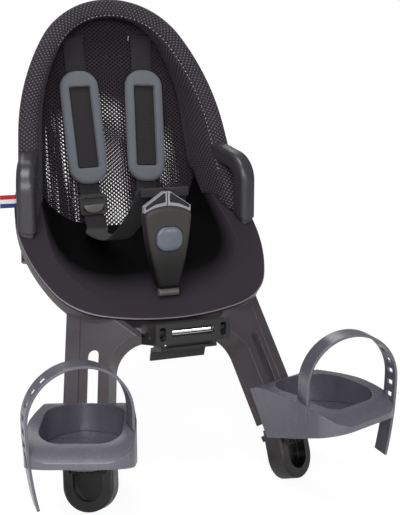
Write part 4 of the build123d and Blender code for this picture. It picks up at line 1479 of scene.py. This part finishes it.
@dataclass
class Harness:
    """Shoulder straps with their pads and adjusters, the lower straps and the crotch strap."""

    nodes: dict[str, bpy.types.Object]
    web: Pair = (25.0, 1.6)
    tilt: float = 2.3
    length: float = 203.0
    behind: float = -8.4
    through: float = -3.5
    front: float = 1.8
    rise: float = 2.0
    bend_low: float = 4.0
    bend_soft: float = 1.4
    plate_low: float = -13.0
    pad: Pair = (48.0, 137.0)
    pad_top: float = -41.0
    pad_thick: float = 9.0
    pad_base: float = 2.9
    pad_round: float = 21.0
    window: Pair = (26.0, 98.0)
    insert_lap: float = 1.0
    insert_play: float = 0.6
    insert_high: float = 2.6
    insert_thick: float = 1.4
    lip: Pair = (12.5, 10.0)
    lip_face: Pair = (8.9, 10.7)
    lower_drop: float = 12.0
    lower_out: float = 5.9
    fold_faces: Pair = (77.9, 77.2)
    crotch_width: float = 22.0
    dome_corner: float = 11.0
    corner_points: int = 7

    def place(self, side: Side, across: float, along: float, out: float) -> Vector:
        """A point on a shoulder strap's own plane.

        Args:
            side: The strap's side.
            across: Distance across the strap.
            along: Distance up the strap from its slot.
            out: Distance in front of the panel.

        Returns:
            The point in millimetres.
        """
        turn = math.radians(-self.tilt)
        x = across * math.cos(turn) - along * math.sin(turn)
        up = across * math.sin(turn) + along * math.cos(turn)
        return side.flip(PANEL.at(STRAP_ACROSS + x, up, out))

    def edge(self, side: Side) -> Vector:
        """The direction across a shoulder strap."""
        return self.place(side, 1.0, 0.0, 0.0) - self.place(side, 0.0, 0.0, 0.0)

    def shoulder(self, side: Side) -> bpy.types.Object:
        """One shoulder strap, from behind its plate through the slot and down the front.

        Args:
            side: The strap's side.

        Returns:
            The strap.
        """
        low, soft = self.bend_low, self.bend_soft
        bend = [
            Vector((self.plate_low, self.behind)), Vector((-low, self.behind)),
            Vector((soft, self.behind + soft)), Vector((self.rise, self.through)),
            Vector((soft, self.front - soft)), Vector((-low, self.front)),
        ]
        route = smooth_line(bend, 4)
        steps = 26
        route += [Vector((-low - (self.length - low) * (s + 1) / steps, self.front)) for s in range(steps)]
        spine = [self.place(side, 0.0, spot.x, spot.y) for spot in route]
        return strip(f"shoulder_web_{side.word}", spine, self.edge(side), self.web, Paint.WEB)

    def pad_mesh(self, side: Side) -> bpy.types.Object:
        """One soft pad: a crowned frame of foam round a long window.

        Args:
            side: The side it is on.

        Returns:
            The pad, as a smooth closed mesh.
        """
        each = self.corner_points
        middle = self.pad_top - self.pad[1] / 2
        floor = self.pad_base + 1.2
        high = self.pad_base + self.pad_thick
        wide, long = self.window
        # Width, length, corner and height of each ring, up the window, over the crown and down to the base
        rows = [
            (wide, long, 2.5, floor),
            (wide, long, 2.5, high - 2.6),
            (wide + 0.8, long + 0.8, 2.9, high - 1.2),
            (wide + 2.6, long + 2.6, 3.6, high - 0.3),
            (wide + 9.0, long + 14.0, 8.0, high),
            (self.pad[0] - 6.0, self.pad[1] - 6.0, self.pad_round - 3.0, high - 0.5),
            (self.pad[0] - 2.0, self.pad[1] - 2.0, self.pad_round - 1.0, high - 2.2),
            (self.pad[0], self.pad[1], self.pad_round, high - 4.6),
            (self.pad[0] - 0.6, self.pad[1] - 0.6, self.pad_round, self.pad_base + 1.4),
            (self.pad[0] - 3.0, self.pad[1] - 3.0, self.pad_round - 1.5, self.pad_base),
            (wide - 2.0, long - 2.0, 2.0, self.pad_base),
        ]
        verts = []
        for width, length, corner, out in rows:
            outline = rounded_outline(width, length, corner, each)
            verts += [self.place(side, x, middle + y, out) for x, y in outline]
        faces = grid_faces(len(rows), 4 * each, closed=True)
        pad = piece_from(f"shoulder_pad_soft_{side.word}", verts, faces, Paint.FOAM)
        return modify(clean(pad, bridge=True), "SUBSURF", levels=2, render_levels=2)

    def pad_web(self, side: Side) -> bpy.types.Object:
        """The ribbed webbing that shows in a pad's window.

        Args:
            side: The pad's side.

        Returns:
            The webbing.
        """
        middle = self.pad_top - self.pad[1] / 2
        ends = self.window[1] / 2 + self.insert_lap
        height = self.pad_base + self.insert_high
        steps = 24
        rows = [middle + ends - 2 * ends * s / steps for s in range(steps + 1)]
        spine = [self.place(side, 0.0, along, height) for along in rows]
        size = (self.window[0] - self.insert_play, self.insert_thick)
        return strip(f"pad_web_{side.word}", spine, self.edge(side), size, Paint.WEB)

    def lower(self, side: Side) -> bpy.types.Object:
        """One lower strap, slack between its adjuster and the buckle's tongue.

        Args:
            side: The strap's side.

        Returns:
            The strap.
        """
        start = self.place(Side.RIGHT, 0.0, -self.length - self.lower_drop, self.lower_out)
        leave = start + Vector((-1.0, -12.0, -14.0))
        slack = ((41.0, 212.0, 64.0), (31.0, 165.0, 66.0), (21.0, 122.0, 97.0), (15.0, 97.0, 128.0))
        hook = ((13.5, 88.5, 131.0), (13.5, 87.0, 124.0))
        route = [start, leave] + [Vector(point) for point in slack + hook]
        line = [side.flip(point) for point in smooth_line(route, 6)]
        return strip(f"lower_web_{side.word}", line, Vector((1.0, 0.0, 0.0)), self.web, Paint.WEB)

    def fold(self, side: Side) -> bpy.types.Object:
        """The end of a lower strap where it is turned back through the tongue's opening.

        Args:
            side: The strap's side.

        Returns:
            The folded end.
        """
        corners = ((2.4, 129.0), (4.2, 129.0), (24.4, 115.1), (23.8, 112.0), (13.0, 117.4), (2.4, 119.2))
        layers = [[side.flip(Vector((x, y, z))) for x, z in corners] for y in self.fold_faces]
        return slice_of(f"strap_fold_{side.word}", layers[0], layers[1], Paint.WEB)

    def adjuster_lip(self, side: Side) -> bpy.types.Object:
        """The pale half-moon grip at the lower edge of an adjuster.

        Args:
            side: The adjuster's side.

        Returns:
            The grip.
        """
        half, deep = self.lip
        corners = []
        for step in range(13):
            angle = math.pi * (1 + step / 12)
            corners.append((half * math.cos(angle), deep * math.sin(angle)))
        layers = [[self.place(side, x, -self.length + y, out) for x, y in corners] for out in self.lip_face]
        return slice_of(f"adjuster_lip_{side.word}", layers[0], layers[1], Paint.ROLL)

    def crotch(self) -> bpy.types.Object:
        """The crotch strap behind the buckle.

        Returns:
            The strap.
        """
        low, high = (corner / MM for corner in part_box("crotch_strap"))
        y = (low.y + high.y) / 2
        steps = 12
        spine = [Vector((0.0, y, low.z + (high.z - low.z) * s / steps)) for s in range(steps + 1)]
        size = (self.crotch_width, self.web[1])
        return strip("crotch_web", spine, Vector((1.0, 0.0, 0.0)), size, Paint.WEB)

    def button(self) -> bpy.types.Object:
        """The buckle's domed button.

        Returns:
            The button.
        """
        low, high = (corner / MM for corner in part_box("buckle_button"))
        middle = (low + high) / 2
        wide, tall = high.x - low.x, high.z - low.z
        # Share of the outline and place of each ring, from the button's back to the top of its dome
        rows = [(1.0, high.y), (1.0, low.y + 2.6), (0.95, low.y + 1.6), (0.82, low.y + 0.9)]
        rows += [(0.6, low.y + 0.4), (0.3, low.y + 0.1), (0.04, low.y)]
        verts = []
        for share, y in rows:
            corner = self.dome_corner * share
            outline = rounded_outline(wide * share, tall * share, corner, self.corner_points)
            verts += [Vector((middle.x + x, y, middle.z + z)) for x, z in outline]
        count = 4 * self.corner_points
        faces: list[Sequence[int]] = list(grid_faces(len(rows), count, closed=True))
        faces += [tuple(range(count)), tuple(range(len(verts) - count, len(verts)))]
        return clean(piece_from("button_dome", verts, faces, Paint.BUTTON))

    def build(self) -> None:
        """Makes every strap and pad and dresses the fittings."""
        for side in Side:
            settle(self.shoulder(side), "webbing", f"shoulder_strap_{side.word}")
            settle(self.pad_mesh(side), "pad_foam", f"shoulder_pad_{side.word}")
            settle(self.pad_web(side), "webbing")
            settle(self.lower(side), "webbing", f"lower_strap_{side.word}")
            settle(self.fold(side), "webbing")
            settle(self.adjuster_lip(side), "grey_plastic")
            dress(self.nodes, Paint.BLACK, f"strap_adjuster_{side.word}")
            dress(self.nodes, Paint.LIGHT, f"buckle_tongue_{side.word}")
        settle(self.crotch(), "webbing", "crotch_strap")
        settle(self.button(), "grey_plastic", "buckle_button", body=Body.BUTTON)
        dress(self.nodes, Paint.BUCKLE, "buckle_front", "buckle_back")
        dress(self.nodes, Paint.BLACK, "crotch_bar")
        dress(self.nodes, Paint.ROLL, "crotch_roll")


@dataclass(frozen=True)
class EdgeLine:
    """A fine round line along the pan's edge, for its painted highlight and painted shadow lines: its
    height, its radius and its share of the outline.
    """

    out: float
    radius: float
    share: float


@dataclass
class Chassis:
    """The moulded frame with its pan, guards, bracket and footrests."""

    nodes: dict[str, bpy.types.Object]
    rim_centre: float = 110.0
    rim_band: float = 0.4
    # A pale painted highlight line on the pan's edge and a dark painted shadow line under it.
    bead: EdgeLine = EdgeLine(out=-1.1, radius=0.9, share=1.001)
    shadow_line: EdgeLine = EdgeLine(out=-3.2, radius=0.8, share=0.997)
    line_sides: int = 8
    line_weld: float = 0.001
    liner_half: float = 24.0
    liner_back: float = 14.0
    liner_high: float = 26.0
    liner_top: float = 7.0
    liner_round: float = 2.0
    liner_thick: float = 1.2

    def front_edge(self) -> list[Pair]:
        """The pan's outline in the rim's plane, from its left over its front to its right.

        Returns:
            Pairs of distance across and up the plane.
        """
        rise = RIM.at(0.0, 1.0) - RIM.at(0.0, 0.0)
        spots = set()
        for vertex in self.nodes["seat_pan"].data.vertices:
            away = vertex.co / MM - RIM.at(0.0, 0.0)
            if abs(away.dot(RIM.normal)) < self.rim_band:
                spots.add((round(away.x, 2), round(away.dot(rise), 2)))
        border: list[Pair] = []
        for spot in sorted(spots):
            while len(border) > 1 and turn_of(border[-2], border[-1], spot) <= 0:
                border.pop()
            border.append(spot)
        return border

    def edge_line(self, name: str, line: EdgeLine, paint: Paint) -> bpy.types.Object:
        """A fine round line that follows the pan's front edge; the pan's painted highlight and painted
        shadow lines are made with it.

        Args:
            name: The piece's name.
            line: Its place and size.
            paint: Its finish.

        Returns:
            The line as a plain mesh.
        """
        share, middle = line.share, self.rim_centre
        path = []
        for across, along in self.front_edge():
            path.append(RIM.at(across * share, middle + (along - middle) * share, line.out))
        base = chain(name, path, paint)
        tree = NodeBuild("run_" + name)
        curve = tree.add("MeshToCurve", Mesh=tree.geometry)
        radius = tree.given("Radius", "Float")
        ring = tree.add("CurvePrimitiveCircle", Resolution=self.line_sides, Radius=radius)
        tube = tree.add("CurveToMesh", Curve=curve, Profile_Curve=ring, Fill_Caps=True)
        tree.finish(tube, tree.given("Weld", "Float"), paint)
        tree.apply(base, {"Radius": line.radius * MM, "Weld": self.line_weld * MM})
        return clean(base)

    def bar_liner(self) -> bpy.types.Object:
        """The dark plate behind the lock bar, between the lever's cheeks.

        Returns:
            The plate.
        """
        corners = rounded_outline(2 * self.liner_half, self.liner_high, self.liner_round, 5)
        middle = self.liner_top - self.liner_high / 2
        faces = (self.liner_back, self.liner_back + self.liner_thick)
        layers = [[Vector((x, y, middle + z)) for x, z in corners] for y in faces]
        return slice_of("bar_liner", layers[0], layers[1], Paint.BLACK)

    def build(self) -> None:
        """Dresses the hard pieces, draws a painted highlight and a painted shadow line along the pan's edge
        and lines the bracket.
        """
        # A pale tube as the pan edge's painted highlight.
        settle(self.edge_line("pan_bead", self.bead, Paint.BEAD), "pan_plastic")
        # A dark tube as the painted shadow in the gap under the pan's edge.
        settle(self.edge_line("pan_gap", self.shadow_line, Paint.LINING), "pan_plastic")
        settle(self.bar_liner(), "black_plastic")
        dress(self.nodes, Paint.FRAME, "seat_frame")
        dress(self.nodes, Paint.PAN, "seat_pan")
        dress(self.nodes, Paint.GUARD, "guard_right", "guard_left", "guard_collars")
        dress(self.nodes, Paint.BLACK, "mount_housing", "release_lever")
        dress(self.nodes, Paint.BAR, "lock_bar")
        dress(self.nodes, Paint.STEEL, "lever_pin", "housing_screws")
        for side in Side:
            FootCup(self.nodes, side, LEG_TOP).build()
            dress(self.nodes, Paint.SLATE, f"foot_strap_{side.word}", f"height_lock_{side.word}")
            dress(self.nodes, Paint.BLACK, f"slider_block_{side.word}", f"lock_pawl_{side.word}")


@dataclass
class FootCup:
    """One foot cup: its solid with a deeper room and a back that falls away behind the heel wall."""

    nodes: dict[str, bpy.types.Object]
    side: Side
    origin: Triple
    turn: float = 20.0
    heel: float = 49.0
    toe: float = 149.0
    half: float = 40.0
    floor: Pair = (46.0, 72.0)
    deeper: float = 8.5
    level_start: float = 70.0
    level_rise: float = 0.85
    back_low: float = 52.0
    back_drop: float = 15.0
    crease: float = 32.0
    face_weight: int = 90
    slide: Triple = (-0.183, 0.5201, 0.8343)

    def local(self, point: Vector) -> Vector:
        """Measures a point from the top of the leg's slot.

        Args:
            point: The point in millimetres.

        Returns:
            Distances to the side, forwards and down.
        """
        away = self.side.flip(point) - Vector(self.origin)
        away.rotate(Matrix.Rotation(math.radians(-self.turn), 3, "Z"))
        return Vector((away.x, -away.y, -away.z))

    def sunk(self, point: Vector) -> Vector:
        """Lowers the cup's back along the leg, and the room's floor straight down.

        Args:
            point: A point of the solid in millimetres.

        Returns:
            Its new place.
        """
        across, ahead, down = self.local(point)
        if ahead < self.heel and down < self.back_low:
            low = self.back_drop * (1 - max(0.0, ahead) / self.heel)
            return point - self.side.flip(Vector(self.slide)) * (low / self.slide[2])
        in_room = self.heel <= ahead < self.toe and abs(across) < self.half
        if in_room and self.floor[0] < down < self.floor[1]:
            rise = self.level_rise * ramp(ahead - self.level_start, self.toe - self.level_start)
            return point - Vector((0.0, 0.0, self.deeper * (1 - rise)))
        return point

    def build(self) -> None:
        """Makes the cup in place of its solid."""
        name = f"foot_cup_{self.side.word}"
        source = self.nodes[name].data
        verts = [self.sunk(vertex.co / MM) for vertex in source.vertices]
        faces = [polygon.vertices for polygon in source.polygons]
        cup = clean(piece_from(f"foot_tray_{self.side.word}", verts, faces, Paint.SLATE))
        cup.data.set_sharp_from_angle(angle=math.radians(self.crease))
        modify(cup, "WEIGHTED_NORMAL", keep_sharp=True, weight=self.face_weight)
        body = Body.FOOT_RIGHT if self.side is Side.RIGHT else Body.FOOT_LEFT
        settle(cup, "slate_plastic", name, body=body)


@dataclass(frozen=True)
class Lamp:
    """A round soft lamp, in metres and watts."""

    name: str
    place: Triple
    size: float
    power: float

    def hang(self, aim: Triple) -> None:
        """Adds the lamp to the scene.

        Args:
            aim: The point that it faces, in metres.
        """
        data = bpy.data.lights.new(self.name, "AREA")
        data.shape = "DISK"
        data.size = self.size
        data.energy = self.power
        obj = bpy.data.objects.new(self.name, data)
        obj.location = self.place
        obj.rotation_euler = (Vector(aim) - Vector(self.place)).to_track_quat("-Z", "Y").to_euler()
        bpy.context.scene.collection.objects.link(obj)


@dataclass
class Studio:
    """White floor, soft lamps and the camera."""

    eye: Triple = (-331.9, -903.8, 287.2)
    ahead: Triple = (0.343, 0.9146, -0.2144)
    focal: float = 1000.0
    sensor: float = 36.0
    reach: float = 30.0
    shadow: float = 0.15
    near: float = 0.8
    sky: float = 0.25
    glow: float = 1.08
    floor_tone: Triple = (0.9, 0.9, 0.9)
    floor_rough: float = 0.9
    aim: Triple = (0.0, 0.1, 0.08)
    lamps: tuple[Lamp, ...] = (
        Lamp("key", place=(-0.75, -0.9, 0.55), size=0.6, power=4.0),
        Lamp("front", place=(-0.4, -1.3, 0.7), size=0.5, power=8.0),
        Lamp("top", place=(-0.5, -0.5, 1.9), size=1.0, power=19.0),
        Lamp("fill", place=(0.7, -1.7, 0.5), size=0.4, power=5.0),
        Lamp("back", place=(0.3, 1.6, 1.6), size=1.6, power=12.0),
    )

    def camera(self) -> None:
        """Sets the camera where the photograph was taken from."""
        data = bpy.data.cameras.new("camera")
        data.sensor_fit = "AUTO"
        data.sensor_width = self.sensor
        data.lens = self.sensor * self.focal / IMAGE_HIGH
        data.clip_end = 2 * self.reach
        obj = bpy.data.objects.new("camera", data)
        obj.location = Vector(self.eye) * MM
        obj.rotation_euler = Vector(self.ahead).to_track_quat("-Z", "Y").to_euler()
        bpy.context.scene.collection.objects.link(obj)
        bpy.context.scene.camera = obj

    def ground(self, level: float) -> None:
        """Lays a white floor that keeps a faint shadow.

        Args:
            level: The floor's height in metres.
        """
        far = self.reach
        corners = [(-far, -far, level), (far, -far, level), (far, far, level), (-far, far, level)]
        mesh = bpy.data.meshes.new("floor")
        mesh.from_pydata(corners, [], [(0, 1, 2, 3)])
        shade = Shade("floor_white")
        shade.set(Base_Color=self.floor_tone, Roughness=self.floor_rough)
        seen = shade.node("LightPath", out="Is Camera Ray")
        away = shade.node("VectorMath", {"operation": "LENGTH"}, out="Value", n0=shade.place())
        near = 1.0 - ((away - self.near) * (1 / self.near)).share()
        glow = shade.node("Emission", Color=(1.0, 1.0, 1.0), Strength=self.glow)
        lit = Wire(shade.tree, shade.shader.outputs[0])
        mixed = shade.node("MixShader", n0=seen * (1.0 - self.shadow * near), n1=lit, n2=glow)
        shade.feed(shade.tree.nodes["Material Output"].inputs["Surface"], mixed)
        mesh.materials.append(shade.material)
        obj = bpy.data.objects.new("floor", mesh)
        bpy.context.scene.collection.objects.link(obj)
        obj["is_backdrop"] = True

    def backdrop(self) -> None:
        """Makes the world white to the eye and a plain soft light elsewhere."""
        world = bpy.data.worlds.new("studio")
        world.use_nodes = True
        tree = world.node_tree
        seen = Wire(tree, tree.nodes.new("ShaderNodeLightPath").outputs["Is Camera Ray"])
        level = seen * (1 - self.sky) + self.sky
        background = tree.nodes["Background"]
        background.inputs["Color"].default_value = (1.0, 1.0, 1.0, 1.0)
        tree.links.new(level.socket, background.inputs["Strength"])
        bpy.context.scene.world = world

    def build(self, level: float) -> None:
        """Sets the whole studio.

        Args:
            level: The floor's height in metres.
        """
        bpy.context.scene.view_settings.view_transform = "Standard"
        self.ground(level)
        self.backdrop()
        self.camera()
        for lamp in self.lamps:
            lamp.hang(self.aim)


def main() -> None:
    """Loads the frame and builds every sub-assembly."""
    logging.basicConfig(level=logging.INFO, format="%(name)s: %(message)s")
    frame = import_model()
    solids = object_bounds()
    Studio().build(solids[0][2])
    for part in (Back(frame["nodes"]), Harness(frame["nodes"]), Chassis(frame["nodes"])):
        part.build()


if __name__ == "__main__":
    main()
